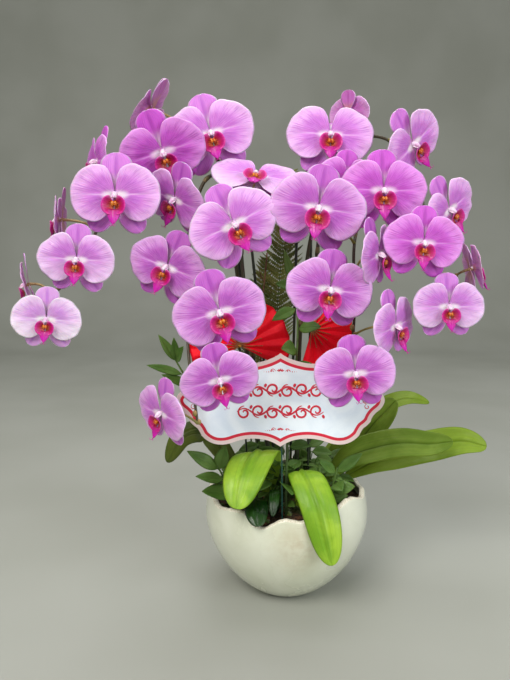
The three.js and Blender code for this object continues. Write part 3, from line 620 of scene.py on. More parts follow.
class LipFinish:
    """The lip's finishes: crimson side lobes, a bright magenta mid-lobe, a spotted callus, the column."""

    @staticmethod
    def lobes() -> Material:
        """Orange and red streaks near the callus, then crimson, then magenta to the rim."""
        g = Graph("lip_lobes")
        uv, across, along = g.sheet()
        base = g.ramp(along, [(0.0, (196, 96, 20)), (0.24, (206, 104, 40)), (0.42, (184, 18, 66)),
                              (0.7, (190, 0, 112)), (0.9, (204, 0, 140)), (1.0, (230, 74, 184))])
        streak = g.level(g.streaks(uv, (30, 1.6, 1), 2.0), 0.47, 0.56)
        inner = g.times(streak, g.level(along, 0.15, 0.8, 0.9, 0.2))
        colour = g.mixed(inner, base, (128, 0, 40))
        spot = g.level(g.cells(g.place(), 760.0), 0.3, 0.4, 1.0, 0.0)
        colour = g.mixed(g.times(spot, g.level(along, 0.5, 0.3, 0.0, 0.8)), colour, (140, 6, 30))
        top = g.times(g.level(across, 0.8, 1.0), g.level(along, 0.4, 0.9))
        colour = g.mixed(g.times(top, 0.5), colour, (240, 150, 210))
        g.bump(streak, 0.0003, 0.5)
        return g.finish(colour, 0.4, Coat_Weight=0.1, Subsurface_Weight=0.05, Subsurface_Scale=0.002)

    @staticmethod
    def middle() -> Material:
        """Crimson at its neck, vivid magenta beyond, with darker lines along it."""
        g = Graph("lip_middle")
        uv = g.uv()
        side = g.off(g.axis(uv, "X"), 0.5)
        base = g.ramp(g.axis(uv, "Y"), [(0.0, (164, 0, 84)), (0.25, (190, 0, 140)), (0.7, (206, 0, 176)),
                                        (1.0, (224, 50, 190))])
        line = g.level(g.streaks(uv, (16, 1.0, 1), 2.0), 0.46, 0.6)
        colour = g.mixed(g.times(line, 0.4), base, (150, 0, 110))
        colour = g.mixed(g.level(side, 0.4, 0.5, 0.0, 0.35), colour, (236, 90, 200))
        g.bump(line, 0.0003, 0.5)
        return g.finish(colour, 0.4, Coat_Weight=0.1, Subsurface_Weight=0.05, Subsurface_Scale=0.002)

    @staticmethod
    def callus() -> Material:
        """Orange-yellow with dark red spots."""
        g = Graph("callus")
        spots = g.level(g.cells(g.place(), 900.0), 0.32, 0.42, 1.0, 0.0)
        patch = g.level(g.noise(g.place(), 500.0, 1.0), 0.4, 0.6)
        colour = g.mixed(patch, (220, 136, 24), (190, 78, 14))
        colour = g.mixed(g.times(spots, 0.85), colour, (150, 14, 20))
        return g.finish(colour, 0.3, Coat_Weight=0.3)

    @staticmethod
    def column() -> Material:
        """Waxy white with a pink flush."""
        g = Graph("column")
        flush = g.level(g.noise(g.place(), 220.0, 2.0), 0.45, 0.7)
        colour = g.mixed(g.times(flush, 0.7), (244, 226, 240), (214, 140, 204))
        return g.finish(colour, 0.42, Coat_Weight=0.08, Subsurface_Weight=0.08, Subsurface_Scale=0.002)


@dataclass(frozen=True)
class LeafFinish:
    """A leaf's finish: a body colour between light and dark, veins, a midrib line and a paler edge.

    Attributes:
        name: The material's name.
        light: The lightest colour.
        dark: The darkest colour.
        rib: The colour of the midrib's line.
        gloss: Roughness of the face.
        pinnate: Whether side veins leave the midrib at a slant, instead of running along the leaf.
    """

    name: str
    light: Colour
    dark: Colour
    rib: Colour
    gloss: float = 0.34
    pinnate: bool = False

    def build(self) -> Material:
        """Makes the material from the leaf's surface coordinates and Object coordinates."""
        g = Graph(self.name)
        uv, across, along = g.sheet()
        side = g.off(across, 0.5)
        blotch = g.noise(g.place(), 28.0, 4.0, 0.4)
        colour = g.mixed(g.level(blotch, 0.35, 0.65), self.light, self.dark)
        if self.pinnate:
            slant = g.minus(g.times(along, 9.0), g.times(side, 9.0))
            wave = g.off(g.maths("FRACT", slant), 0.5)
            vein = g.level(wave, 0.0, 0.14, 1.0, 0.0)
        else:
            vein = g.level(g.streaks(uv, (40, 0.7, 1), 2.0), 0.45, 0.62)
        colour = g.mixed(g.times(vein, 0.3 if self.pinnate else 0.14), colour, self.rib)
        rib = g.level(side, 0.006, 0.05, 1.0, 0.0)
        colour = g.mixed(g.times(rib, g.level(along, 0.95, 0.5, 0.25, 0.6)), colour, self.rib)
        edge = g.level(side, 0.47, 0.5)
        colour = g.mixed(g.times(edge, 0.5), colour, self.light)
        speck = g.noise(g.place(), 900.0, 2.0)
        rough = g.level(blotch, 0.3, 0.7, self.gloss, self.gloss + 0.14)
        height = g.plus(g.times(vein, 0.5), g.times(speck, 0.25))
        g.bump(g.minus(height, g.times(rib, 1.2)), 0.0005, 0.5)
        return g.finish(colour, rough, Coat_Weight=0.06, Specular_IOR_Level=0.32, Subsurface_Weight=0.04,
                        Subsurface_Scale=0.002)


@dataclass(frozen=True)
class StemFinish:
    """A stem's finish: one colour low down and another towards its tip, with fine streaks.

    Attributes:
        name: The material's name.
        root: The colour at its root.
        tip: The colour at its tip.
        fleck: The colour of streaks and flecks.
        roughness: Mean roughness.
    """

    name: str
    root: Colour
    tip: Colour
    fleck: Colour
    roughness: float = 0.45

    def build(self) -> Material:
        """Makes the material; the second surface coordinate runs from root to tip."""
        g = Graph(self.name)
        uv = g.uv()
        colour = g.mixed(g.level(g.axis(uv, "Y"), 0.1, 0.95), self.root, self.tip)
        streak = g.streaks(g.place(), (420, 420, 60), 3.0)
        colour = g.mixed(g.level(streak, 0.5, 0.72), colour, self.fleck)
        g.bump(streak, 0.0004, 0.5)
        return g.finish(colour, g.level(streak, 0.3, 0.7, self.roughness - 0.08, self.roughness + 0.12),
                        Coat_Weight=0.08)


class PotFinish:
    """Cream glaze with a faint crackle, a tan blush low on its front, and bare clay on the broken edge."""

    @staticmethod
    def glaze() -> Material:
        """Glossy cream with cloudy tone, hairline crackle and a soft stain."""
        g = Graph("cream_glaze")
        place = g.place()
        cloud = g.noise(place, 14.0, 4.0, 0.6)
        colour = g.mixed(g.level(cloud, 0.3, 0.72), (228, 231, 212), (212, 216, 192))
        fine = g.noise(place, 160.0, 3.0)
        colour = g.mixed(g.level(fine, 0.6, 0.8, 0.0, 0.12), colour, (210, 206, 178))
        warped = g.mixed(0.02, place, g.noise(place, 40.0, 2.0))
        crack = g.level(g.cells(warped, 26.0, "DISTANCE_TO_EDGE"), 0.0, 0.008, 1.0, 0.0)
        colour = g.mixed(g.times(crack, 0.1), colour, (170, 160, 130))
        stain = g.tree.nodes.new("ShaderNodeTexGradient")
        stain.gradient_type = "SPHERICAL"
        centred = g.stretched(place, (26, 14, 20), (-0.2, 1.4, -1.9))
        g.tree.links.new(centred, stain.inputs[0])
        patch = g.times(stain.outputs["Fac"], g.level(fine, 0.3, 0.7, 0.5, 1.0))
        colour = g.mixed(g.times(patch, 0.5), colour, (176, 152, 112))
        g.bump(g.minus(cloud, g.times(crack, 0.1)), 0.0008, 0.3)
        return g.finish(colour, g.level(cloud, 0.3, 0.7, 0.2, 0.3), Coat_Weight=0.7, Coat_Roughness=0.12)

    @staticmethod
    def clay() -> Material:
        """Chalky pale clay with fine grit."""
        g = Graph("bare_clay")
        grit = g.noise(g.place(), 700.0, 4.0)
        colour = g.mixed(g.level(grit, 0.4, 0.65), (236, 232, 214), (204, 196, 168))
        g.bump(grit, 0.0006, 0.7)
        return g.finish(colour, 0.6, Coat_Weight=0.15)


class MixFinish:
    """What fills the pot: damp grains, bark chips and moss."""

    @staticmethod
    def grain() -> Material:
        """Dark, damp potting mix: brown grains with a little moss between them."""
        g = Graph("potting_mix_grain")
        place = g.place()
        grain = g.noise(place, 260.0, 6.0, 0.5)
        colour = g.ramp(grain, [(0.3, (26, 17, 10)), (0.5, (58, 40, 24)), (0.7, (96, 70, 42))])
        moss = g.level(g.noise(place, 30.0, 3.0), 0.52, 0.64)
        colour = g.mixed(g.times(moss, 0.8), colour, (66, 78, 28))
        g.bump(grain, 0.003, 0.9)
        return g.finish(colour, 0.92)

    @staticmethod
    def bark() -> Material:
        """Bark chips: ridged red-brown with pale scuffs."""
        g = Graph("bark_chip")
        ridge = g.streaks(g.place(), (900, 300, 900), 4.0, 0.6)
        colour = g.ramp(ridge, [(0.3, (42, 24, 14)), (0.5, (92, 56, 32)), (0.75, (142, 100, 64))])
        g.bump(ridge, 0.0012, 0.9)
        return g.finish(colour, 0.85)

    @staticmethod
    def moss() -> Material:
        """Soft moss: mid green with brown ends."""
        g = Graph("moss")
        tuft = g.noise(g.place(), 700.0, 5.0, 0.8)
        colour = g.ramp(tuft, [(0.3, (36, 48, 12)), (0.55, (88, 112, 34)), (0.8, (150, 158, 70))])
        g.bump(tuft, 0.0018, 1.0)
        return g.finish(colour, 0.95, Sheen_Weight=0.3)


class FanFinish:
    """The fans: pleated paper, bamboo ribs and the rivet."""

    @staticmethod
    def paper() -> Material:
        """Red folded paper: fibres, painted shade in the folds that lie back, browner near the rivet."""
        g = Graph("red_paper")
        uv = g.uv()
        fibre = g.streaks(g.place(), (700, 700, 260), 5.0, 0.7)
        crease_shade = g.off(g.maths("FRACT", g.axis(uv, "X")), 0.5)
        colour = g.mixed(g.level(fibre, 0.35, 0.7), (255, 8, 40), (250, 4, 32))
        # Painted shade: the folds of the paper that lie back are darkened.
        colour = g.mixed(g.level(crease_shade, 0.46, 0.5, 0.0, 0.3), colour, (150, 4, 12))
        hub = g.level(g.axis(uv, "Y"), 0.02, 0.25, 0.4, 0.0)
        colour = g.mixed(hub, colour, (140, 34, 20))
        g.bump(fibre, 0.0003, 0.6)
        return g.finish(colour, g.level(fibre, 0.3, 0.7, 0.5, 0.68), Specular_IOR_Level=0.25)

    @staticmethod
    def bamboo() -> Material:
        """Split bamboo: straw yellow with brown streaks."""
        g = Graph("split_bamboo")
        streak = g.streaks(g.place(), (900, 900, 120), 3.0)
        colour = g.mixed(g.level(streak, 0.4, 0.7), (176, 112, 62), (120, 66, 34))
        g.bump(streak, 0.0002, 0.5)
        return g.finish(colour, 0.5)

    @staticmethod
    def rivet() -> Material:
        """The fan's rivet: worn gilt metal."""
        g = Graph("gilt_rivet")
        worn = g.noise(g.place(), 600.0, 3.0)
        colour = g.mixed(g.level(worn, 0.4, 0.7), (214, 164, 74), (150, 104, 44))
        return g.finish(colour, g.level(worn, 0.3, 0.7, 0.25, 0.5), Metallic=0.9)


@dataclass(frozen=True)
class CardFinish:
    """The card's print. The second surface coordinate is the distance from its edge, in centimetres.

    Attributes:
        margin: The outer beige margin's width, in centimetres.
        band: The distance of the red band's inner edge, in centimetres.
    """

    margin: float = 0.43
    band: float = 0.76

    def build(self) -> Material:
        """A beige margin, a red band and a pale blue-white field with soft clouds."""
        g = Graph("card_print")
        place = g.place()
        inset = g.axis(g.uv(), "Y")
        cloud = g.noise(place, 26.0, 4.0, 0.8)
        field_colour = g.mixed(g.level(cloud, 0.35, 0.7), (236, 246, 252), (216, 230, 242))
        paper = g.noise(place, 900.0, 3.0)
        field_colour = g.mixed(g.level(paper, 0.5, 0.8, 0.0, 0.15), field_colour, (206, 218, 230))
        red = g.mixed(g.level(cloud, 0.3, 0.7), (214, 22, 58), (198, 14, 48))
        colour = g.mixed(g.level(inset, self.margin - 0.02, self.margin + 0.02), (222, 202, 198), red)
        colour = g.mixed(g.level(inset, self.band - 0.02, self.band + 0.02), colour, field_colour)
        g.bump(paper, 0.0001, 0.5)
        return g.finish(colour, g.level(paper, 0.3, 0.7, 0.4, 0.52), Coat_Weight=0.1)

    @staticmethod
    def ink() -> Material:
        """Red printed scrollwork."""
        g = Graph("red_ink")
        wear = g.noise(g.place(), 500.0, 3.0)
        colour = g.mixed(g.level(wear, 0.45, 0.75), (206, 26, 54), (222, 70, 92))
        return g.finish(colour, 0.5)

    @staticmethod
    def wire() -> Material:
        """Dark teal coated wire."""
        g = Graph("coated_wire")
        scuff = g.noise(g.place(), 800.0, 2.0)
        colour = g.mixed(g.level(scuff, 0.4, 0.7), (18, 62, 58), (34, 84, 74))
        return g.finish(colour, g.level(scuff, 0.3, 0.7, 0.3, 0.5))


# Blooms

class BloomForm(Enum):
    """Whether the top sepal stands up or curls back; the value is its turn over its length, in degrees."""

    OPEN = 0.0
    RECURVED = 100.0


@dataclass(frozen=True)
class BloomPlace:
    """Where a bloom is and how it is turned.

    Attributes:
        at: The foot of its column, in millimetres.
        span: Its width across the petals, in millimetres.
        yaw: Turn to the viewer's right, in degrees.
        pitch: Turn to face up, in degrees.
        roll: Lean of its top sepal to the right, in degrees.
        tone: How strongly it is coloured.
        form: The form of its top sepal.
    """

    at: Point
    span: float
    yaw: float
    pitch: float
    roll: float
    tone: BloomTone = BloomTone.LILAC
    form: BloomForm = BloomForm.OPEN

    def turn(self) -> Array:
        """The rotation: roll about Y first, then pitch about X, then yaw about Z."""
        yaw, pitch, roll = np.radians([self.yaw, -self.pitch, self.roll])
        return rotation(2, yaw) @ rotation(0, pitch) @ rotation(1, roll)

    def behind(self) -> Array:
        """The direction that points out of the bloom's back."""
        return self.turn() @ np.array([0.0, 1.0, 0.0])


@dataclass
class Bloom:
    """A moth orchid bloom, built facing -Y at a span of 100 mm across its petals.

    Attributes:
        full_span: The span that the other sizes go with.
        petal_reach: The petal's outline: angle above the horizontal in degrees, and distance.
        sepals: Angle from straight up, length and half width of each sepal.
        sepal_back: How far behind the petals the sepals are joined.
        lip_centre: Height of the middle of the round lip.
        lip_radius: Radius of its side lobes.
        petal_thickness: Thickness of petals and sepals.
        lobe_thickness: Thickness of the lip's side lobes.
        tongue_thickness: Thickness of its mid-lobe.
    """

    full_span: float = 100.0
    petal_reach: tuple[tuple[float, float], ...] = (
        (-72, 9), (-66, 20), (-60, 29), (-50, 37), (-40, 42), (-30, 45), (-15, 48.3), (0, 49.8),
        (8, 50), (20, 48.5), (32, 45.5), (47, 42), (58, 39.3), (66, 36), (73, 31.8), (78, 26), (81.5, 19),
        (84, 12))
    sepals: tuple[tuple[float, float, float], ...] = ((0, 46, 17.6), (143, 47, 14.6), (217, 47, 14.6))
    sepal_back: float = 3.0
    lip_centre: float = -11.2
    lip_radius: float = 13.0
    petal_thickness: float = 0.9
    lobe_thickness: float = 0.9
    tongue_thickness: float = 1.1

    PETAL, PETAL_BACK, SEPAL, SEPAL_BACK, LOBES, MIDDLE, CALLUS, COLUMN = range(8)

    def petal(self, parts: MeshParts, side: int, rng: np.random.Generator) -> None:
        """Adds one petal as a fan of rays from the column.

        A ray at angle t reaches R(t), read off the smooth outline. The face bulges forward by a sine
        along the ray, its top and bottom edges fall back with the square of the height, a groove
        follows the midline, and the rim waves in and out.

        Args:
            parts: The bloom's patches.
            side: 1 for the viewer's right, -1 for the left.
            rng: The bloom's own random source.
        """
        angles, reach = np.array(self.petal_reach, float).T
        theta = np.linspace(angles[0], angles[-1], 43)
        knots = np.column_stack([angles, reach, np.zeros_like(angles)])
        outline = curve_through(knots)
        rim = np.interp(theta, outline[:, 0], outline[:, 1])
        phase = rng.uniform(0, 2 * np.pi, 6)
        theta = np.radians(theta)
        rim = rim * (1 + 0.012 * np.sin(6 * theta + phase[0]) + 0.006 * np.sin(17 * theta + phase[3]))
        theta = theta + math.radians(rng.uniform(-3.5, 1.5))
        share = even(20)[:, None] ** 0.85
        out = share * rim
        x, z = out * np.cos(theta), out * np.sin(theta)
        s = np.clip(out / 50, 0, 1)
        cup = rng.uniform(-2.0, 3.6)
        y = -3.1 * np.sin(np.pi * s**0.8) + 2.0 * (z / 34) ** 2 * s - cup * s**3
        y += 0.9 * np.exp(-((z - 2) / 2.4) ** 2) * 4 * s * (1 - s)
        y += (1.3 * share**4 * np.sin(4.3 * theta + phase[1])
              + 0.55 * share**6 * np.sin(11 * theta + phase[2]))
        y += (0.5 * s * np.sin(0.22 * x + 0.31 * z + phase[4])
              + 0.22 * s * np.sin(0.6 * z - 0.2 * x + phase[5]))
        y += 0.16 * share * (1 - share**6) * np.cos(26 * theta + phase[1])
        x = side * x
        grid = np.stack([x, y - 0.4, z], axis=-1)
        uv = together(even(len(theta))[None, :], share)
        if side < 0:
            grid, uv = grid[:, ::-1], uv[:, ::-1]
        parts.add_blade(grid, self.petal_thickness, (self.PETAL, self.PETAL_BACK), uv, 14)

    def sepal(self, parts: MeshParts, index: int, turn: float, rng: np.random.Generator) -> None:
        """Adds one sepal: its half width rises as a sine to 0.7 of its length and then rounds off.

        It falls back with the power 1.3 of its length, its edges a little more, and the top one may
        bend back along an arc.

        Args:
            parts: The bloom's patches.
            index: Which sepal, clockwise from the top one.
            turn: The arc's turn over the top sepal's length, in radians.
            rng: The bloom's own random source.
        """
        degrees, length, width = self.sepals[index]
        t = even(22)[:, None]
        s = 1 - (1 - t) ** 1.6
        peak = 0.7 if index == 0 else 0.6
        rise = np.sin(np.pi / 2 * np.clip(s / peak, 0, 1)) ** 1.25
        fall = np.sqrt(np.clip(1 - (np.clip(s - peak, 0, 1) / (1 - peak)) ** 2.2, 0, 1))
        neck = 6.2 if index == 0 else 3.5
        half = np.where(s < peak, np.maximum(width * rise, neck * smooth(s, -0.12, 0.1)), width * fall)
        w = np.linspace(-1, 1, 13)[None, :]
        phase = rng.uniform(0, 2 * np.pi)
        aside, along = w * half, s * length * np.ones_like(w)
        y = self.sepal_back + 4.5 * s**1.3 + 1.2 * w**2 * s + 0.5 * s**3 * np.sin(5 * w + phase)
        keels = np.exp(-((w / 0.16) ** 2)) + 0.8 * np.exp(-(((np.abs(w) - 0.55) / 0.14) ** 2))
        y = y + 0.35 * keels * (1 - s)
        if index == 0 and turn > 0:
            radius = length / turn - (y - self.sepal_back)
            bend = turn * along / length
            y, along = self.sepal_back + length / turn - radius * np.cos(bend), radius * np.sin(bend)
        a = math.radians(degrees + rng.uniform(-3, 3))
        x = along * math.sin(a) + aside * math.cos(a)
        z = along * math.cos(a) - aside * math.sin(a)
        grid = np.stack([x, y + np.zeros_like(x), z], axis=-1)[:, ::-1]
        uv = together(0.5 - 0.5 * w, t)
        parts.add_blade(grid, self.petal_thickness, (self.SEPAL, self.SEPAL_BACK), uv, 14)

    def lip(self, parts: MeshParts, rng: np.random.Generator) -> None:
        """Adds the lip: two side lobes that make a round bowl, a mid-lobe, its tendrils and the callus.

        A side lobe is half a bowl whose forward reach grows with the power 1.7 of the share from its
        middle to its rim. The mid-lobe is a tongue with a low keel.

        Args:
            parts: The bloom's patches.
            rng: The bloom's own random source.
        """
        stretch = rng.uniform(0.92, 1.06)
        for side in (1, -1):
            a = np.radians(np.linspace(-74, 70, 24))[None, :]
            b = even(14)[:, None]
            radius = 0.3 + self.lip_radius * b**0.85 * (1 - 0.15 * np.abs(a / 1.25) ** 3)
            x = side * radius * np.cos(a)
            y = -6.2 - 7.6 * b**1.7 + 1.4 * b**8 + 0.35 * b**3 * np.sin(6 * a)
            z = self.lip_centre + 0.96 * radius * np.sin(a)
            grid = together(x, y, z)
            uv = together(a / 2.6 + 0.5, b)
            if side < 0:
                grid, uv = grid[:, ::-1], uv[:, ::-1]
            parts.add_blade(grid, self.lobe_thickness, (self.LOBES, self.LOBES), uv)
        t = even(18)[:, None]
        w = np.linspace(-1, 1, 13)[None, :]
        half = np.interp(t, [0, 0.12, 0.3, 0.5, 0.7, 0.85, 0.95, 1],
                         [5.6, 7.2, 7.6, 6.6, 4.8, 3.1, 1.6, 0.4])
        y = -10.4 - 3.6 * np.sin(np.pi / 2 * t) + 2.2 * w**2 * half / 8 - 0.9 * np.exp(-((w / 0.28) ** 2))
        z = -15.6 - 15.8 * stretch * t + 1.0 * np.abs(w) ** 3 * half / 8
        middle = together(-w * half, y, z)
        parts.add_blade(middle, self.tongue_thickness, (self.MIDDLE, self.MIDDLE))
        tip = middle[-1, 6]
        for side in (1, -1):
            reach = [(0, 0.4, 1.0), (0.9, -1.2, -1.2), (2.3, -2.6, -1.6), (3.4, -3.0, -0.4), (3.0, -2.2, 0.9)]
            curl = tip + np.array(reach) * (side, 1, 1)
            parts.add_grid(tube(spaced(curl, 12), np.linspace(0.45, 0.14, 12), 6), self.MIDDLE)
        for side in (1, -1):
            bump = ellipsoid((side * 1.5, -9.6, self.lip_centre + 1.8), (1.9, 2.6, 2.9), 10, 12)
            parts.add_grid(bump, self.CALLUS)

    def column(self, parts: MeshParts) -> None:
        """Adds the column: a waxy rod that leans out over the lip, with a rounded cap and two wings."""
        path = spaced([(0, 3.2, 0), (0, -1, 0.8), (0, -5.4, 0.8), (0, -8.6, -1.4)], 14)
        radii = np.interp(even(14), [0, 0.35, 0.75, 1], [2.0, 2.5, 2.9, 2.3])
        parts.add_grid(tube(path, radii, 14, 0.7), self.COLUMN)
        parts.add_grid(ellipsoid((0, -9.6, -2.0), (1.9, 1.7, 1.9), 9, 12), self.COLUMN)
        for side in (1, -1):
            wing = spaced([(side * 1.8, -2, -0.4), (side * 3.1, -5.5, -1.0), (side * 2.3, -8.8, -3.0)], 10)
            parts.add_grid(tube(wing, 0.8, 8), self.COLUMN)

    def build(self, name: str, place: BloomPlace, seed: int, finishes: Finishes,
              replaces: str) -> bpy.types.Object:
        """Builds the bloom where it belongs.

        Args:
            name: The piece's name.
            place: Its place and turn.
            seed: Seed of its small variations.
            finishes: Materials by name.
            replaces: The CAD node that it stands for.

        Returns:
            The new piece.
        """
        rng = np.random.default_rng(seed)
        parts = MeshParts()
        self.petal(parts, 1, rng)
        self.petal(parts, -1, rng)
        for index in range(len(self.sepals)):
            self.sepal(parts, index, math.radians(place.form.value), rng)
        self.lip(parts, rng)
        self.column(parts)
        scale = place.span / self.full_span
        turn = place.turn()
        parts.points = [np.asarray(place.at) + scale * p @ turn.T for p in parts.points]
        tone = place.tone.value.name
        names = (f"{tone}_petal", "back_petal", f"{tone}_sepal", "back_sepal", "lobes", "middle", "callus",
                 "column")
        return parts.build(name, [finishes[key] for key in names], "bloom", [replaces])


# Spikes and stakes

@dataclass(frozen=True)
class Spike:
    """A flower spike: the route of its stem and the blooms on it.

    Attributes:
        route: Points of the stem, from its root in the mix.
        blooms: Its blooms, from the one nearest the root's side to the tip.
        root_radius: Radius at the root.
        tip_radius: Radius at the tip.
        rings: How many even stretches the stem is divided into.
        first_ring: The lowest ring that carries a pedicel.
        hub_back: How far behind its foot a bloom of full span is held.
        joint_gap: Distance between the stem's joints.
    """

    route: tuple[Point, ...]
    blooms: tuple[BloomPlace, ...]
    root_radius: float = 3.0
    tip_radius: float = 1.5
    rings: int = 18
    first_ring: int = 7
    hub_back: float = 4.6
    joint_gap: float = 62.0

    STEM, PEDICEL, SHEATH = range(3)

    def pedicel_path(self, bloom: BloomPlace) -> Array:
        """The pedicel's middle line, from the nearest ring of the stem to the back of the bloom.

        Args:
            bloom: The bloom that it carries.

        Returns:
            Points of a cubic Bezier that leaves the stem upwards and meets the bloom square to its back.
        """
        behind = bloom.behind()
        end = np.asarray(bloom.at) + behind * self.hub_back * bloom.span / Bloom.full_span
        aim = end + 12 * behind
        rings = spaced(self.route, self.rings + 1)[self.first_ring:]
        start = rings[np.argmin(np.linalg.norm(rings - aim, axis=1))]
        reach = np.linalg.norm(end - start)
        lift = start + 0.3 * (end - start) + np.array([0, 0, 0.12 * reach])
        return bezier([start, lift, end + 0.4 * reach * behind, end - 3.2 * behind], 22)

    def build(self, name: str, finishes: Finishes) -> bpy.types.Object:
        """Builds the stem with its joints and sheaths, and the pedicels.

        Args:
            name: The spike's name, which is its CAD node's.
            finishes: Materials by name.

        Returns:
            The new piece.
        """
        parts = MeshParts()
        path = spaced(self.route, 240)
        share = even(240)
        length = np.linalg.norm(np.diff(path, axis=0), axis=1).sum()
        radii = self.root_radius + (self.tip_radius - self.root_radius) * share
        joints = np.arange(0.22, 0.99, self.joint_gap / length)
        for joint in joints:
            radii = radii * (1 + 0.32 * np.exp(-(((share - joint) * length / 2.2) ** 2)))
        parts.add_grid(tube(path, radii, 12), self.STEM)
        for joint in joints:
            near = resample(path, np.linspace(joint - 1 / length, min(joint + 9 / length, 1.0), 8))
            thick = np.interp(joint, share, self.root_radius + (self.tip_radius - self.root_radius) * share)
            sheath = tube(near, thick * 1.22 * np.array([1, 1.05, 1.05, 1, 0.95, 0.9, 0.8, 0.6]), 12, 0.1)
            parts.add_grid(sheath, self.SHEATH)
        for bloom in self.blooms:
            stalk = self.pedicel_path(bloom)
            swell = np.interp(even(len(stalk)), [0, 0.08, 0.3, 0.85, 1],
                              [2.0, 1.4, 1.15, 1.5, 2.1])
            parts.add_grid(tube(stalk, swell, 10), self.PEDICEL)
        for k, (back, size) in enumerate(((0.0, 2.2), (0.012, 2.6))):
            tip = resample(path, np.array([1 - back]))[0] + np.array([1.6 * (-1) ** k, 0, 1.2])
            parts.add_grid(ellipsoid(tip, (size, size, size * 1.4)), self.PEDICEL)
        materials = [finishes["spike"], finishes["pedicel"], finishes["sheath"]]
        return parts.build(f"{name}_stem", materials, "spike", [name])


T = BloomTone
SPIKES: dict[str, Spike] = {
    "outer_left_spike": Spike(
        ((-22, 14, 62), (-28, 15, 120), (-50, 22, 300), (-62, 20, 400), (-74, 14, 490), (-96, 6, 541),
         (-140, -4, 553), (-182, -14, 526), (-201, -26, 485), (-214, -42, 430), (-240, -58, 382),
         (-256, -62, 366)),
        (BloomPlace((-88, -12, 542), 101, 4, 2, -14, T.LIGHT),
         BloomPlace((-158, 14, 576), 86, -97, 30, 40, T.PALE),
         BloomPlace((-139, -37, 519), 96, 12, -22, -20, T.DEEP),
         BloomPlace((-218, -4, 512), 90, -62, 4, 4, T.DEEP),
         BloomPlace((-185, -66, 470), 97, 0, 0, 1, T.LIGHT),
         BloomPlace((-253, -38, 446), 76, -82, 0, 0, T.PALE),
         BloomPlace((-223, -84, 403), 81, 0, 0, 3, T.PALE),
         BloomPlace((-285, -60, 376), 72, -70, -12, 0, T.PALE),
         BloomPlace((-254, -94, 342), 73, 4, 0, 4, T.BLUSH))),
    "inner_left_spike": Spike(
        ((-10, -8, 62), (-14, -8, 120), (-40, -2, 280), (-54, 8, 400), (-58, 14, 466), (-70, 10, 498),
         (-92, -12, 494), (-108, -32, 450), (-114, -42, 400), (-113, -58, 345), (-108, -84, 292),
         (-102, -92, 252), (-99, -96, 232)),
        (BloomPlace((-38, -38, 491), 98, 8, 50, 14, T.PALE, BloomForm.RECURVED),
         BloomPlace((-124, -50, 467), 86, -38, -14, 22),
         BloomPlace((-60, -94, 438), 95, 10, 0, -27, T.LIGHT),
         BloomPlace((-132, -66, 395), 88, -16, 0, 20),
         BloomPlace((-74, -112, 351), 96, 4, 0, -15),
         BloomPlace((-73, -136, 287), 79, 8, -6, -13),
         BloomPlace((-134, -112, 247), 80, -45, -4, 6, T.LIGHT))),
    "inner_right_spike": Spike(
        ((10, 2, 62), (12, 4, 120), (17, 10, 330), (28, 12, 430), (44, 12, 482), (64, 4, 486),
         (76, -12, 448), (70, -44, 408), (69, -64, 350), (67, -72, 322)),
        (BloomPlace((61, -38, 487), 74, 6, -4, 4, T.DEEP),
         BloomPlace((26, -84, 455), 100, 2, 0, 10),
         BloomPlace((97, -60, 475), 95, 2, 0, 1, T.DEEP),
         BloomPlace((88, -86, 408), 85, 56, 0, -14),
         BloomPlace((37, -104, 373), 90, 4, 0, 8),
         BloomPlace((105, -98, 335), 84, 48, 0, -10, T.LIGHT),
         BloomPlace((61, -126, 291), 84, 2, 2, -4))),
    "outer_right_spike": Spike(
        ((24, 14, 62), (27, 15, 120), (34, 24, 330), (40, 26, 440), (58, 28, 512), (88, 30, 545),
         (120, 28, 542), (146, 16, 506), (156, -10, 455), (158, -34, 415), (160, -50, 388),
         (178, -56, 384)),
        (BloomPlace((46, -8, 541), 99, 0, 10, 2, T.LIGHT, BloomForm.RECURVED),
         BloomPlace((75, 50, 577), 58, 142, 0, 0, T.PALE),
         BloomPlace((139, -8, 531), 92, 38, -6, -40, T.LIGHT),
         BloomPlace((133, -92, 420), 83, 2, 0, 5, T.DEEP),
         BloomPlace((176, -32, 457), 86, 38, -4, -30, T.LIGHT),
         BloomPlace((196, -58, 393), 78, 84, 13, 0, T.PALE),
         BloomPlace((161, -94, 355), 76, 2, 0, -2, T.PALE))),
}

STAKE_RADIUS = 1.7
STAKES: dict[str, tuple[Point, Point]] = {
    "outer_left_stake": ((-26, 27, 62), (-62, 33, 440)),
    "inner_left_stake": ((-4, 4, 62), (-44, 12, 430)),
    "inner_right_stake": ((4, 16, 62), (12, 26, 440)),
    "outer_right_stake": ((30, 28, 62), (30, 38, 452)),
}


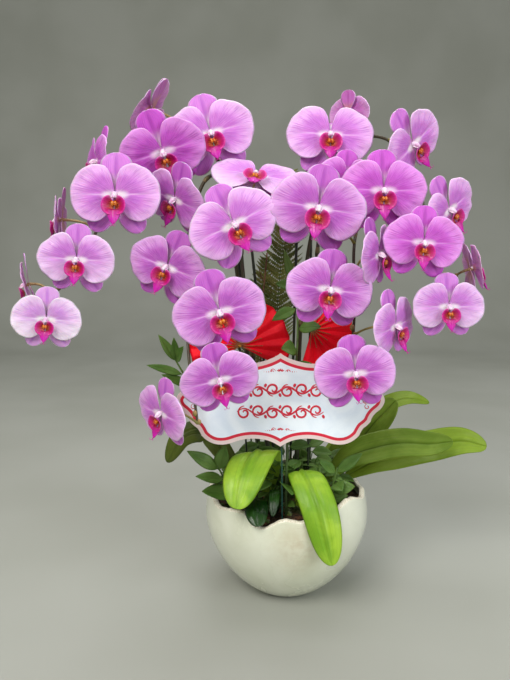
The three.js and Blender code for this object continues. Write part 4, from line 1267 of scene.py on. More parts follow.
@dataclass
class Supports:
    """The straight canes behind the spikes, the bare twig and the card's wire.

    Attributes:
        twig_route: The twig's middle line.
        wire_route: The wire's middle line.
    """

    twig_route: tuple[Point, ...] = ((-18, 8, 62), (-19, 8, 120), (-32, 14, 300), (-24, 20, 410))
    wire_route: tuple[Point, ...] = ((-8, -70, 70), (-8, -70, 118), (-9, -71, 190), (-11, -72.5, 262))

    def build(self, finishes: Finishes) -> None:
        """Builds each as a round tube; a cane has faint rings and the twig has knots and stubs."""
        for name, ends in STAKES.items():
            parts = MeshParts()
            share = even(90)
            path = resample(np.array(ends, float), share)
            rings = 1 + 0.12 * np.exp(-(((share * 5) % 1 - 0.5) / 0.02) ** 2)
            parts.add_grid(tube(path, STAKE_RADIUS * rings, 12, 0.3))
            parts.build(name.replace("stake", "cane"), [finishes["cane"]], "stake", [name])
        parts = MeshParts()
        path = spaced(self.twig_route, 90)
        share = even(90)
        knots = 1 + 0.35 * np.exp(-(((share * 9) % 1 - 0.5) / 0.07) ** 2)
        parts.add_grid(tube(path, (1.5 - 0.7 * share) * knots, 9, 0.3))
        for k, at in enumerate((0.56, 0.68, 0.79, 0.9)):
            root = resample(path, np.array([at]))[0]
            aside = (-1) ** k
            stub = spaced([root, root + (4 * aside, -1, 7), root + (6 * aside, -2, 15)], 10)
            parts.add_grid(tube(stub, np.linspace(0.7, 0.3, 10), 7))
        parts.build("bare_twig", [finishes["twig"]], "twig", ["twig"])
        parts = MeshParts()
        parts.add_grid(tube(spaced(self.wire_route, 60), 0.8, 10, 0.2))
        parts.build("card_stem", [finishes["wire"]], "stake", ["card_wire"])


# Leaves

@dataclass(frozen=True)
class StrapLeaf:
    """A strap leaf that arches from the mix.

    Attributes:
        spine: Points of the midrib, from root to tip.
        width: The widest width.
        right: Where the blade's right edge points.
        finish: The name of its finish.
        slot: The record's material slot.
    """

    spine: tuple[Point, ...]
    width: float
    right: Point
    finish: str = "bright_leaf"
    slot: str = "strap_leaf"

    ROOT_SHARE = 0.2
    ROOT_HALF = 3.4
    FOLD = 0.18
    THICKNESS = 2.2

    def build(self, name: str, seed: int, finishes: Finishes) -> bpy.types.Object:
        """Builds the leaf: it widens as a sine, keeps its width, and rounds off at the tip.

        Each side folds up with the square of its share of the width, the midrib is a groove, and the
        edges wave gently.

        Args:
            name: The CAD node's name.
            seed: Seed of its waves.
            finishes: Materials by name.

        Returns:
            The new piece.
        """
        rng = np.random.default_rng(seed)
        share = 1 - (1 - even(76)) ** 1.25
        spine = resample(curve_through(self.spine), share)
        along = unit(np.gradient(spine, axis=0))
        right = np.asarray(self.right, float)
        aside = unit(right - along * (along @ right)[:, None])
        up = unit(np.cross(aside, along))
        t = np.clip((share - self.ROOT_SHARE) / (1 - self.ROOT_SHARE), 0, 1)
        rise = np.sin(np.pi / 2 * np.clip(t / 0.5, 0, 1)) ** 0.85
        fall = np.sqrt(np.clip(1 - np.clip((t - 0.5) / 0.5, 0, 1) ** 3.2, 0, 1))
        half = np.maximum(self.width / 2 * rise, self.ROOT_HALF) * fall
        w = np.linspace(-1, 1, 21)[None, :, None]
        phase = rng.uniform(0, 2 * np.pi, 3)
        wave = 0.03 * np.sin(9 * share + phase[0])[:, None, None] * w**3
        wave = wave + 0.02 * np.sin(17 * share + phase[1])[:, None, None] * np.abs(w) ** 4
        groove = -0.09 * np.exp(-((w / 0.07) ** 2)) + 0.05 * np.exp(-(((np.abs(w) - 0.2) / 0.1) ** 2))
        lift = (self.FOLD * w**2 + wave + groove * smooth(t, 0.02, 0.3)[:, None, None]) * half[:, None, None]
        grid = spine[:, None] + aside[:, None] * w * half[:, None, None] + up[:, None] * lift
        parts = MeshParts()
        uv = together((w[..., 0] + 1) / 2, share[:, None])
        parts.add_blade(grid, self.THICKNESS, (0, 1), uv, 6)
        under = finishes[self.finish + "_back"]
        return parts.build(f"{name}_blade", [finishes[self.finish], under], self.slot, [name])


LEAVES: dict[str, StrapLeaf] = {
    "front_left_leaf": StrapLeaf(
        ((-22, -22, 80), (-23, -24, 122), (-29, -34, 176), (-38, -54, 186), (-50, -82, 172),
         (-59, -104, 140)), 48, (1, 0.1, 0.1)),
    "front_right_leaf": StrapLeaf(
        ((12, -28, 80), (12, -31, 120), (13, -44, 158), (17, -64, 165), (30, -94, 140), (44, -112, 80)),
        40, (1, 0, 0.1)),
    "right_upper_leaf": StrapLeaf(
        ((34, -8, 80), (39, -9, 118), (72, -16, 166), (104, -18, 180), (136, -22, 187),
         (168, -26, 187), (194, -28, 191)), 36, (0, -0.6, -0.8), "mid_leaf"),
    "right_long_leaf": StrapLeaf(
        ((52, 16, 80), (62, 16, 116), (104, 14, 149), (141, 12, 163), (177, 10, 172), (216, 8, 180),
         (247, 6, 174)), 41, (0, -0.6, -0.8), "lime_leaf"),
    "right_broad_leaf": StrapLeaf(
        ((42, 36, 80), (46, 36, 118), (66, 34, 148), (95, 30, 174), (109, 28, 194), (125, 26, 213),
         (138, 24, 228)), 46, (0.5, -0.7, -0.5), "mid_leaf"),
    "right_back_leaf": StrapLeaf(
        ((30, 56, 80), (34, 58, 118), (84, 66, 172), (112, 66, 194), (138, 64, 213), (162, 60, 221),
         (188, 54, 217)), 34, (0, -0.9, -0.4), "lime_leaf"),
    "notch_leaf": StrapLeaf(
        ((-37, -44, 94), (-38, -46, 118), (-38, -64, 134), (-37, -86, 132), (-35, -101, 119)),
        27, (1, 0, 0), "dark_leaf", "shaded_leaf"),
    "middle_leaf": StrapLeaf(
        ((-13, -38, 80), (-14, -41, 114), (-16, -56, 142), (-17, -70, 138), (-19, -82, 122)),
        13, (1, 0, 0), "dark_leaf", "shaded_leaf"),
    "left_olive_leaf": StrapLeaf(
        ((-50, -4, 80), (-54, -5, 116), (-74, -8, 168), (-100, -12, 198), (-124, -18, 194),
         (-143, -22, 163)), 27, (0.85, 0, -0.5), "olive_leaf", "olive_leaf"),
}


@dataclass(frozen=True)
class Spray:
    """A leafy spray: a stem and oval leaves on short stalks.

    Attributes:
        stem: Points of the stem, from its root in the mix.
        leaves: Number of the joint that it leaves, tip and width of each leaf.
    """

    stem: tuple[Point, ...]
    leaves: tuple[tuple[int, Point, float], ...]

    FACING = (0.0, -0.8, 0.6)
    STEPS = 14

    @staticmethod
    def leaf(parts: MeshParts, base: Array, tip: Array, width: float, facing: Array,
             slots: tuple[int, int] = (0, 0)) -> None:
        """Adds an oval leaf: its half width is a sine of its length to the power 0.75, pointed at the tip.

        Args:
            parts: The spray's patches.
            base: Where it leaves the stem.
            tip: Its tip.
            width: Its widest width.
            facing: Roughly where its face looks.
            slots: Material indices of its face and back.
        """
        along = tip - base
        length = np.linalg.norm(along)
        aside = unit(np.cross(along, facing))
        up = unit(np.cross(aside, along))
        t = even(15)[:, None, None]
        w = np.linspace(-1, 1, 9)[None, :, None]
        blade = np.clip((t - 0.08) / 0.92, 0, 1)
        half = np.maximum(0.5 * width * np.sin(np.pi * blade**0.78) ** 0.85, 0.5 * (t < 0.9) * (1 - t))
        lift = 0.12 * width * np.sin(np.pi * t) + 0.16 * half * w**2 - 0.1 * half * np.exp(-((w / 0.12) ** 2))
        grid = base + along * t + aside * w * half + up * lift
        parts.add_blade(grid, min(1.2, 0.02 * length + 0.7), slots, None, 6)

    def build(self, name: str, finishes: Finishes) -> bpy.types.Object:
        """Builds the stem and its leaves.

        Args:
            name: The CAD node's name.
            finishes: Materials by name.

        Returns:
            The new piece.
        """
        parts = MeshParts()
        facing = np.array(self.FACING)
        joints = spaced(self.stem, self.STEPS + 1)
        parts.add_grid(tube(spaced(self.stem, 60), np.linspace(1.8, 1.0, 60), 9), 2)
        for joint, tip, width in self.leaves:
            self.leaf(parts, joints[joint], np.array(tip, float), width, facing, (0, 1))
        materials = [finishes["spray_leaf"], finishes["spray_leaf_back"], finishes["green_stem"]]
        return parts.build(f"{name}_foliage", materials, "spray", [name])


SPRAYS: dict[str, Spray] = {
    "left_tall_spray": Spray(
        ((-58, 20, 70), (-60, 20, 114), (-90, 4, 200), (-118, -18, 262), (-137, -28, 300)),
        ((13, (-149, -31, 318), 11), (13, (-130, -40, 316), 10), (13, (-119, -42, 306), 12),
         (12, (-163, -34, 283), 11), (11, (-146, -34, 272), 12), (11, (-96, -14, 264), 13),
         (10, (-128, -26, 236), 12), (8, (-80, -2, 232), 13))),
    "left_low_spray": Spray(
        ((-58, -28, 70), (-60, -29, 112), (-72, -38, 144), (-82, -46, 168)),
        ((13, (-116, -54, 188), 16), (13, (-72, -52, 194), 18), (11, (-106, -60, 160), 14),
         (8, (-99, -62, 143), 20), (10, (-62, -46, 170), 13))),
    "centre_spray": Spray(
        ((-3, -57, 70), (-3, -57, 112), (-1, -56, 220), (8, -52, 300), (8, -42, 350), (0, -34, 394)),
        ((13, (-6, -34, 414), 10), (13, (-16, -42, 376), 14), (12, (-20, -54, 336), 15),
         (11, (34, -60, 330), 17), (10, (-10, -62, 306), 20), (9, (24, -62, 290), 14),
         (8, (-12, -62, 270), 14))),
    "right_low_spray": Spray(
        ((43, -40, 70), (44, -41, 112), (50, -46, 138), (56, -48, 166)),
        ((13, (84, -50, 184), 14), (13, (34, -54, 176), 13), (11, (60, -68, 146), 18),
         (10, (76, -54, 146), 18), (8, (70, -42, 130), 14), (9, (36, -62, 136), 12))),
}


@dataclass(frozen=True)
class Fern:
    """A frond: a rib with pairs of toothed leaflets that lean towards the tip.

    Attributes:
        stem: Points of the rib, from its root in the mix.
        leaflets: How many pairs.
        start: Share of the stem below the first pair.
        reach: Length of the longest leaflet.
    """

    stem: tuple[Point, ...]
    leaflets: int
    start: float
    reach: float

    LEAN = 0.62
    ASIDE = (1.0, 0.0, 0.0)

    def build(self, name: str, seed: int, finishes: Finishes) -> bpy.types.Object:
        """Builds the rib and the leaflets, whose edges carry teeth: |sin| of ten half turns of the length.

        Args:
            name: The CAD node's name.
            seed: Seed of the leaflets' small turns.
            finishes: Materials by name.

        Returns:
            The new piece.
        """
        rng = np.random.default_rng(seed)
        dense = curve_through(self.stem)
        parts = MeshParts()
        parts.add_grid(tube(spaced(self.stem, 100), np.linspace(1.4, 0.5, 100), 8), 1)
        aside = np.array(self.ASIDE)
        for k in range(1, 2 * self.leaflets, 2):
            share = self.start + (1 - self.start) * k / (2 * self.leaflets)
            rib, ahead = resample(dense, np.array([share, min(share + 0.01, 1)]))
            tangent = unit(ahead - rib)
            length = self.reach * math.sin(math.pi * (0.3 + 0.62 * k / (2 * self.leaflets)))
            for side in (-1, 1):
                sweep = self.LEAN + rng.uniform(-0.14, 0.14)
                tip = side * aside * length + tangent * sweep * length
                tip = tip + np.array([0, rng.uniform(-2.5, 1), 0])
                t = even(41)[:, None, None]
                w = np.linspace(-1, 1, 5)[None, :, None]
                teeth = 0.25 + 0.75 * np.abs(np.sin(12 * np.pi * t)) ** 0.7
                half = 3.1 * np.sin(np.pi * np.clip(t, 0, 1) ** 0.5) ** 0.7 * teeth * (1 - 0.4 * t)
                across = unit(np.cross(tip, (0, -1, 0)))
                droop = np.array([0, -1.0, 0]) * (1.8 * np.sin(np.pi * t) + 0.4 * w**2)
                droop = droop + tangent * 0.2 * length * t**2
                parts.add_blade(rib + tip * t + across * w * half + droop, 0.5, (0, 0), None, 6)
        materials = [finishes["fern_leaf"], finishes["green_stem"]]
        return parts.build(f"{name}_frond", materials, "fern", [name])


FERNS: dict[str, Fern] = {
    "tall_fern": Fern(((-6, 34, 70), (-6, 36, 112), (-12, 46, 300), (-4, 44, 420), (6, 38, 508)),
                      46, 0.5, 27),
    "short_fern": Fern(((-40, 34, 70), (-40, 36, 112), (-46, 50, 260), (-32, 52, 350), (-26, 48, 404)),
                       36, 0.48, 26),
}


# Paper fans

@dataclass(frozen=True)
class PaperFan:
    """A pleated paper fan on a stick.

    Attributes:
        centre: Its rivet.
        radius: Its radius.
        angles: First and last angle, in degrees from the viewer's right.
        pleats: How many pleats.
        stick: Points of the stick, from its root in the mix.
    """

    centre: Point
    radius: float
    angles: tuple[float, float]
    pleats: int
    stick: tuple[Point, ...]

    DEPTH = 5.0
    HUB = 1.5
    VALLEY = 0.97
    STEPS = 12
    RIB_SHARE = 0.46
    THICKNESS = 0.5

    def build(self, name: str, finishes: Finishes) -> bpy.types.Object:
        """Builds the folded sheet, its bamboo ribs, the rivet and the stick.

        The sheet's depth is a triangle wave of the angle, one wave a pleat, whose height grows along the
        radius from the rivet.

        Args:
            name: The CAD node's name.
            finishes: Materials by name.

        Returns:
            The new piece.
        """
        parts = MeshParts()
        turns = np.linspace(0, self.pleats, self.pleats * self.STEPS + 1)[None, :]
        wave = 4 * np.abs((turns + 0.5) % 1 - 0.5) - 1
        wave = np.clip(wave * 1.08, -1, 1) * -1
        angle = np.radians(self.angles[0] + (self.angles[1] - self.angles[0]) * turns / self.pleats)
        share = even(18)[:, None]
        rim = self.radius * (1 - (1 - self.VALLEY) * (1 - wave) / 2)
        out = self.HUB + (rim - self.HUB) * share
        depth = wave * (0.5 + (self.DEPTH / 2 - 0.5) * share)
        grid = np.stack([out * np.cos(angle), depth * np.ones_like(out), out * np.sin(angle)], axis=-1)
        grid = grid + np.array(self.centre)
        uv = together(turns, share)
        parts.add_blade(grid[:, ::-1], self.THICKNESS, (0, 0), uv[:, ::-1], 30)
        folds = np.radians(np.linspace(*self.angles, 2 * self.pleats + 1))[1::2]
        for fold in folds:
            direction = np.array([math.cos(fold), 0.0, math.sin(fold)])
            lean = np.array([0, -1.0, 0])
            ends = [(2.0, 0.9), (self.RIB_SHARE * self.radius, 1 + self.RIB_SHARE * (self.DEPTH / 2 - 0.5))]
            path = np.array([np.array(self.centre) + direction * r + lean * d for r, d in ends])
            parts.add_grid(tube(resample(path, even(8)), np.linspace(0.6, 0.35, 8), 6), 1)
        x, y, z = self.centre
        parts.add_grid(ellipsoid((x, y - 2.2, z), (1.9, 1.4, 1.9)), 2)
        stick = spaced((*self.stick, (x, y + 1.5, z + 8)), 60)
        parts.add_grid(tube(stick, 1.2, 8, 0.3), 3)
        materials = [finishes["paper"], finishes["bamboo"], finishes["rivet"], finishes["cane"]]
        return parts.build(f"{name}_paper", materials, "paper", [name])


FANS: dict[str, PaperFan] = {
    "left_fan": PaperFan((-56, -33, 305), 58, (-28, 222), 13,
                         ((-44, -28, 70), (-44.5, -28, 112), (-56, -24, 296))),
    "right_fan": PaperFan((26, -33, 324), 47, (-105, 96), 10,
                          ((24, -26, 70), (24, -26, 112), (26, -24, 315))),
}


# Gift card

@dataclass
class GiftCard:
    """The scalloped card: a printed plate and its red scrollwork, the same on its left and right.

    Attributes:
        centre: The middle of the card.
        lean: How far its top leans back, in degrees.
        width: Its width.
        height: Its height.
        thickness: Its thickness.
        arcs: The right half of its outline from the top: control and end of each quadratic arc, as
            shares of half the width and height.
    """

    centre: Point = (-11, -76, 252)
    lean: float = 4.0
    width: float = 225.0
    height: float = 102.0
    thickness: float = 2.4
    arcs: tuple[tuple[float, float, float, float], ...] = (
        (0.08, 0.86, 0.24, 0.79), (0.38, 0.74, 0.5, 0.86), (0.68, 1, 0.76, 0.72), (0.78, 0.6, 0.84, 0.56),
        (0.88, 0.5, 0.88, 0.42), (0.9, 0.26, 0.97, 0.16), (1.04, 0, 0.96, -0.2),
        (0.88, -0.32, 0.87, -0.46), (0.84, -0.54, 0.8, -0.6), (0.78, -0.66, 0.76, -0.76),
        (0.64, -1.06, 0.45, -0.9), (0.3, -0.78, 0.15, -0.85), (0.08, -0.88, 0, -1))

    def outline(self) -> Array:
        """Points of the closed outline, clockwise from the top: quadratic arcs and their mirror image."""
        t = np.linspace(0, 1, 10, endpoint=False)[:, None]
        start = np.array([0.0, 1.0])
        stretches = []
        for arc in self.arcs:
            control, end = np.array(arc[:2]), np.array(arc[2:])
            stretches.append((1 - t) ** 2 * start + 2 * (1 - t) * t * control + t**2 * end)
            start = end
        right = np.vstack([*stretches, start[None]])
        left = right[1:-1][::-1] * (-1, 1)
        return np.vstack([right, left]) * (self.width / 2, self.height / 2)

    def stand(self, flat: Array, forward: float) -> Array:
        """Flat card points as points in space, that far in front of the card's middle plane."""
        lean = math.radians(self.lean)
        x, up = flat[..., 0], flat[..., 1]
        y = up * math.sin(lean) - forward * math.cos(lean)
        z = up * math.cos(lean) + forward * math.sin(lean)
        return np.stack([x, y, z], axis=-1) + np.array(self.centre)

    def plate(self, finishes: Finishes) -> bpy.types.Object:
        """Builds the plate from its outline scaled in to the middle, closely near the rim.

        The second surface coordinate of the face is the true distance from the rim, in centimetres.
        """
        rim = self.outline()
        rim = np.vstack([rim, rim[:1]])
        half = self.thickness / 2
        scales = np.concatenate([np.linspace(1, 0.8, 33)[1:], np.linspace(0.8, 0, 9)[1:]])
        face = [rim * scale for scale in scales]
        dense = np.vstack([rim[:-1] + (rim[1:] - rim[:-1]) * share for share in (0.0, 0.33, 0.67)])
        flat = [rim * 0.0, rim * 0.5, rim, rim, rim * 0.996, *face]
        forward = [-half, -half, -half, half - 0.4, half, *([half] * len(face))]
        grid = np.array([self.stand(ring, depth) for ring, depth in zip(flat, forward)])
        away = [np.linalg.norm(ring[:, None] - dense[None], axis=-1).min(axis=1) / 10 for ring in flat]
        turn = even(len(rim))
        uv = np.array([np.stack([turn, distance], axis=-1) for distance in away])
        uv[:2, :, 1] = 0.0
        parts = MeshParts()
        parts.add_grid(grid, 0, uv)
        return parts.build("gift_card_print", [finishes["card"]], "card", ["gift_card"])

    def stroke(self, parts: MeshParts, path: Array, width: float) -> None:
        """Adds a raised ink stroke that is widest in its middle: half width times sqrt(sin) of its share."""
        share = even(len(path))
        tangent = unit(np.gradient(path, axis=0))
        side = np.stack([tangent[:, 1], -tangent[:, 0]], axis=-1)
        half = 0.5 * width * (0.25 + 0.75 * np.sqrt(np.sin(np.pi * np.clip(share, 0.001, 0.999))))
        flat = path[:, None] + side[:, None] * half[:, None, None] * np.linspace(-1, 1, 5)[None, :, None]
        grid = self.stand(flat, self.thickness / 2 + 0.12)
        parts.add_blade(grid[:, ::-1], 0.3, (0, 0), None, 4)

    @staticmethod
    def dash(ends: Array, count: int) -> Array:
        """Even points along a straight stroke between two ends."""
        return resample(np.c_[ends, [0, 0]], even(count))[:, :2]

    @staticmethod
    def spiral(centre: tuple[float, float], radius: float, turns: float, start: float) -> Array:
        """A spiral that winds in: its radius falls with the power 0.8 of the share left."""
        t = even(34)
        angle = math.radians(start) + 2 * np.pi * turns * t
        r = radius * (1 - t) ** 0.8 + 0.12 * radius
        return np.stack([centre[0] + r * np.cos(angle), centre[1] + r * np.sin(angle)], axis=-1)

    def scroll(self, parts: MeshParts, middle: tuple[float, float], length: float, curls: int,
               size: float) -> None:
        """Adds a running scroll: a wavy stem with a spiral curl in each wave, alternately up and down.

        Args:
            parts: The scrollwork's patches.
            middle: The scroll's middle on the card.
            length: Its length.
            curls: How many curls.
            size: Radius of a curl.
        """
        t = even(20 * curls)
        pitch = length / curls
        rise = 0.55 * size * np.sin(np.pi * curls * t)
        self.stroke(parts, together(middle[0] + length * (t - 0.5), middle[1] + rise), 2.2)
        for k in range(curls):
            sign = 1 if k % 2 == 0 else -1
            x = middle[0] - length / 2 + (k + 0.5) * pitch
            curl = self.spiral((x, middle[1] - sign * 0.15 * size), size, 1.2 * sign, 90 * sign)
            self.stroke(parts, curl, 2.3)
            bud = np.array([[x + 0.42 * pitch, middle[1] + sign * 0.5 * size],
                            [x + 0.52 * pitch, middle[1] + sign * 1.1 * size]])
            self.stroke(parts, self.dash(bud, 8), 3.0)

    def crest(self, parts: MeshParts, middle: tuple[float, float], size: float) -> None:
        """Adds a small crest: a spray of five drops with a scroll and three dots on either side."""
        for angle in (-60, -30, 0, 30, 60):
            a = math.radians(90 + angle)
            ends = np.array([[0.25, 0.25], [1.0, 1.0]]) * size * np.array([math.cos(a), 0.8 * math.sin(a)])
            self.stroke(parts, self.dash(ends + middle, 8), 1.3)
        for side in (-1, 1):
            curl = self.spiral((side * 1.9 * size, 0.1 * size), 0.62 * size, 1.2, 180 if side > 0 else 0)
            curl[:, 1] *= side if side < 0 else 1
            self.stroke(parts, np.abs(curl) * (side, 1) + middle, 0.9)
            for k in range(3):
                dot = np.array([[0, 0], [1.1 - 0.25 * k, 0]]) + (side * (2.9 + 0.55 * k) * size - 0.5, 0)
                self.stroke(parts, self.dash(dot + middle, 6), 1.2 - 0.25 * k)

    def scrollwork(self, finishes: Finishes) -> bpy.types.Object:
        """Builds two running scrolls across the card with a crest above, below and at each side."""
        parts = MeshParts()
        self.scroll(parts, (0, 11), 126, 8, 6.6)
        self.scroll(parts, (0, -12.5), 94, 6, 6.6)
        self.crest(parts, (0, 31), 4.4)
        self.crest(parts, (0, -33), 4.0)
        for side in (-1, 1):
            for k, height in enumerate((5.0, -1.0, -7.0)):
                curl = self.spiral((side * (94 - 2.0 * (k % 2)), height), 2.8, 1.1, 90)
                self.stroke(parts, curl, 0.9)
        return parts.build("card_scrollwork", [finishes["ink"]], "card")


# Pot and what fills it

@dataclass
class EggshellPot:
    """The pot: a blunt egg below its widest ring and a sphere above it, broken off at a jagged rim.

    Attributes:
        radius: Its widest radius.
        widest_at: Height of the widest ring.
        foot_radius: Radius of the flat foot.
        roundness: Power of the superellipse below the widest ring.
        wall: Thickness of the wall.
        floor: Thickness of the floor.
        foot_lift: How far above the foot the wall starts.
        edge_round: Height of the broken edge's round.
        sides: How many sides its rings have.
        wall_rings: How many rings its outside has.
        foot_rings: Rings of the foot, as shares of its radius.
        edge_turns: Rings of the broken edge, as turns from outside to inside in degrees.
        rim: Azimuth in degrees and height of each corner of the broken edge.
    """

    radius: float = 99.0
    widest_at: float = 97.0
    foot_radius: float = 36.0
    roundness: float = 1.75
    wall: float = 6.0
    floor: float = 8.0
    foot_lift: float = 0.8
    edge_round: float = 1.8
    sides: int = 360
    wall_rings: int = 46
    foot_rings: tuple[float, ...] = (0.0, 0.5, 0.9, 0.97)
    edge_turns: tuple[float, ...] = (30, 60, 90, 120, 150)
    rim: tuple[tuple[float, float], ...] = (
        (-180, 124), (-163, 128), (-148, 120), (-136, 124), (-121, 126), (-116, 115), (-108, 112.5),
        (-100, 120), (-95, 124.5), (-83, 121), (-70, 125), (-57, 127), (-46, 134), (-36, 133), (-22, 125),
        (-8, 128), (9, 120), (22, 129), (38, 122), (52, 131), (66, 126), (80, 134), (97, 125), (112, 131),
        (127, 123), (141, 130), (154, 124), (168, 129), (180, 124))

    def radius_at(self, height: Array) -> Array:
        """Outer radius at a height: a superellipse below the widest ring, a sphere above it."""
        height = np.asarray(height, float)
        p = self.roundness
        depth = self.widest_at / (1 - (self.foot_radius / self.radius) ** p) ** (1 / p)
        below = np.clip((self.widest_at - height) / depth, 0, 1)
        egg = self.radius * (1 - below**p) ** (1 / p)
        ball = np.sqrt(np.maximum(self.radius**2 - np.maximum(height - self.widest_at, 0) ** 2, 0))
        return np.where(height > self.widest_at, ball, egg)

    def rim_height(self, azimuth: Array) -> Array:
        """Height of the broken edge: straight between corners, with the corners a little worn."""
        corners = np.array(self.rim, float)
        offsets = np.linspace(-2.2, 2.2, 9)
        wrapped = (azimuth[:, None] + offsets + 180) % 360 - 180
        mean = np.interp(wrapped, corners[:, 0], corners[:, 1]).mean(axis=1)
        angle = np.radians(azimuth)
        chips = ripples(np.random.default_rng(4), np.cos(angle) * self.radius, np.sin(angle) * self.radius,
                        12, 9.0)
        return mean + 0.25 * chips

    def build(self, finishes: Finishes) -> bpy.types.Object:
        """Builds the wall as one closed grid: foot, outside, rounded rim, inside and floor."""
        azimuth = np.linspace(-180, 180, self.sides + 1)
        azimuth[-1] = -180
        rim = self.rim_height(azimuth)
        angle = np.radians(azimuth)
        rows = []

        def ring(radius: Array, height: Array) -> None:
            """Adds one ring of the profile."""
            radius, height = np.broadcast_arrays(radius, height)
            rows.append(np.stack([radius * np.cos(angle), radius * np.sin(angle), height + 0 * angle], -1))

        shoulder = rim - self.edge_round
        for share in self.foot_rings:
            ring(self.foot_radius * share + 0 * rim, 0 * rim)
        for share in even(self.wall_rings) ** 0.9:
            height = self.foot_lift + (shoulder - self.foot_lift) * share
            ring(self.radius_at(height), height)
        for turn in np.radians(self.edge_turns):
            middle = self.radius_at(rim) - self.wall / 2
            ring(middle + self.wall / 2 * math.cos(turn), shoulder + self.edge_round * math.sin(turn))
        for share in even(24):
            height = shoulder + (self.floor - shoulder) * share
            ring(self.radius_at(height) - self.wall, height)
        ring(0 * rim, self.floor + 0 * rim)
        grid = np.array(rows)
        parts = MeshParts()
        parts.add_grid(grid, 0, None, True)
        outside = len(self.foot_rings) + self.wall_rings - 1
        slot_rows = np.zeros(len(grid) - 1, int)
        slot_rows[outside:outside + len(self.edge_turns) + 1] = 1
        parts.slots = [np.repeat(slot_rows, self.sides)]
        return parts.build("eggshell_pot", [finishes["glaze"], finishes["clay"]], "glaze", ["pot"])


@dataclass
class PottingMix:
    """The mounded mix, the bark chips and moss on it, and low dark foliage.

    Attributes:
        pot: The pot that it fills.
        height: Height of its edge.
        mound: How much higher its middle is.
        chips: How many bark chips lie on it.
        sprouts: How many leaves the low foliage has.
        gap: Gap between the mix and the wall.
        litter_reach: How far from the middle the chips and moss lie.
        sprout_reach: How far from the middle the low foliage grows.
    """

    pot: EggshellPot
    height: float = 106.0
    mound: float = 7.0
    chips: int = 260
    sprouts: int = 128
    gap: float = 0.4
    litter_reach: float = 84.0
    sprout_reach: float = 64.0

    def top(self, x: Array, y: Array) -> Array:
        """Height of the surface: it falls off with the square of the distance, with lumps."""
        share = np.hypot(x, y) / 92
        angle = np.arctan2(y, x)
        lumps = 2.2 * np.sin(3 * angle + 1) * share + 1.6 * np.sin(7 * angle) * share
        rough = ripples(np.random.default_rng(11), x, y, 30, 9.0)
        return self.height + self.mound * (1 - share**2) + lumps + 0.8 * rough

    def fill(self, finishes: Finishes) -> bpy.types.Object:
        """Builds the fill: bottom, side against the pot's wall, and the lumpy top."""
        angle = np.linspace(0, 2 * np.pi, 181)
        inset = self.pot.wall + self.gap
        edge_height = self.height - 1.0
        edge = float(self.pot.radius_at(edge_height)) - inset
        low = self.pot.floor + 0.3
        rows = [together(0 * angle, 0 * angle, low)]
        for z in np.linspace(low, edge_height - 2, 14):
            r = float(self.pot.radius_at(z)) - inset
            rows.append(together(r * np.cos(angle), r * np.sin(angle), z))
        for share in np.linspace(1, 0, 46):
            x, y = share * edge * np.cos(angle), share * edge * np.sin(angle)
            rows.append(np.stack([x, y, self.top(x, y)], -1))
        grid = np.array(rows)
        grid[:, -1] = grid[:, 0]
        parts = MeshParts()
        parts.add_grid(grid, 0, None, True)
        return parts.build("mix_surface", [finishes["mix"]], "mix", ["potting_mix"])

    def litter(self, finishes: Finishes) -> bpy.types.Object:
        """Builds the bark chips and moss: squashed lumps at random places and turns, sunk halfway in."""
        rng = np.random.default_rng(21)
        parts = MeshParts()
        ball = ellipsoid((0, 0, 0), (1, 1, 1), 7, 9)
        for _ in range(self.chips):
            distance = self.litter_reach * math.sqrt(rng.uniform(0.0, 1))
            around = rng.uniform(0, 2 * np.pi)
            x, y = distance * math.cos(around), distance * math.sin(around)
            moss = rng.uniform() < 0.3
            size = rng.uniform(2.5, 5.5) * np.array([1.0, 0.75, 0.45] if moss else [1.3, 0.7, 0.32])
            dents = ripples(rng, ball[..., 0], ball[..., 1] + ball[..., 2], 6, 1.2)
            lump = ball * (1 + 0.16 * dents[..., None])
            lump[0], lump[-1] = ball[0], ball[-1]
            lump[:, -1] = lump[:, 0]
            turn = rng.uniform(0, 2 * np.pi)
            tilt = rng.uniform(-0.35, 0.35)
            z = float(self.top(np.array([x]), np.array([y]))[0])
            turned = (lump * size) @ (rotation(2, turn) @ rotation(0, tilt)).T
            parts.add_grid(turned + (x, y, z + 0.2 * size[2]), 1 if moss else 0)
        return parts.build("bark_and_moss", [finishes["bark"], finishes["moss"]], "mix")

    def foliage(self, finishes: Finishes) -> bpy.types.Object:
        """Builds low dark foliage: small leaves on thin stalks that lean out from the middle."""
        rng = np.random.default_rng(33)
        parts = MeshParts()
        for k in range(self.sprouts):
            distance, around = rng.uniform(8, self.sprout_reach), rng.uniform(0, 2 * np.pi)
            x, y = distance * math.cos(around), 0.8 * distance * math.sin(around)
            root = np.array([x, y, self.height])
            out = np.array([math.cos(around), math.sin(around), 0])
            tall = rng.uniform(18, 82) * (1 - 0.35 * distance / 66)
            broad = 1.5 if k % 2 else 1.0
            lean = rng.uniform(2, 9)
            crown = root + out * lean + (rng.uniform(-5, 5), rng.uniform(-5, 5), tall)
            stalk = spaced([root, root + (0, 0, 0.5 * tall), crown], 12)
            parts.add_grid(tube(stalk, 0.6, 6), 2)
            heading = unit(out + rng.normal(0, 0.6, 3) * (1, 1, 0.3))
            tip = crown + heading * rng.uniform(15, 24) * broad + (0, 0, rng.uniform(-8, 8))
            facing = unit(np.array([0, -0.6, 0.8]) + rng.normal(0, 0.3, 3))
            Spray.leaf(parts, crown, tip, rng.uniform(9, 14) * broad, facing, (3 if k % 2 else 0, 1))
        materials = [finishes["spray_leaf"], finishes["spray_leaf_back"], finishes["green_stem"],
                     finishes["dark_leaf"]]
        return parts.build("low_foliage", materials, "spray")


# Camera, lights and floor

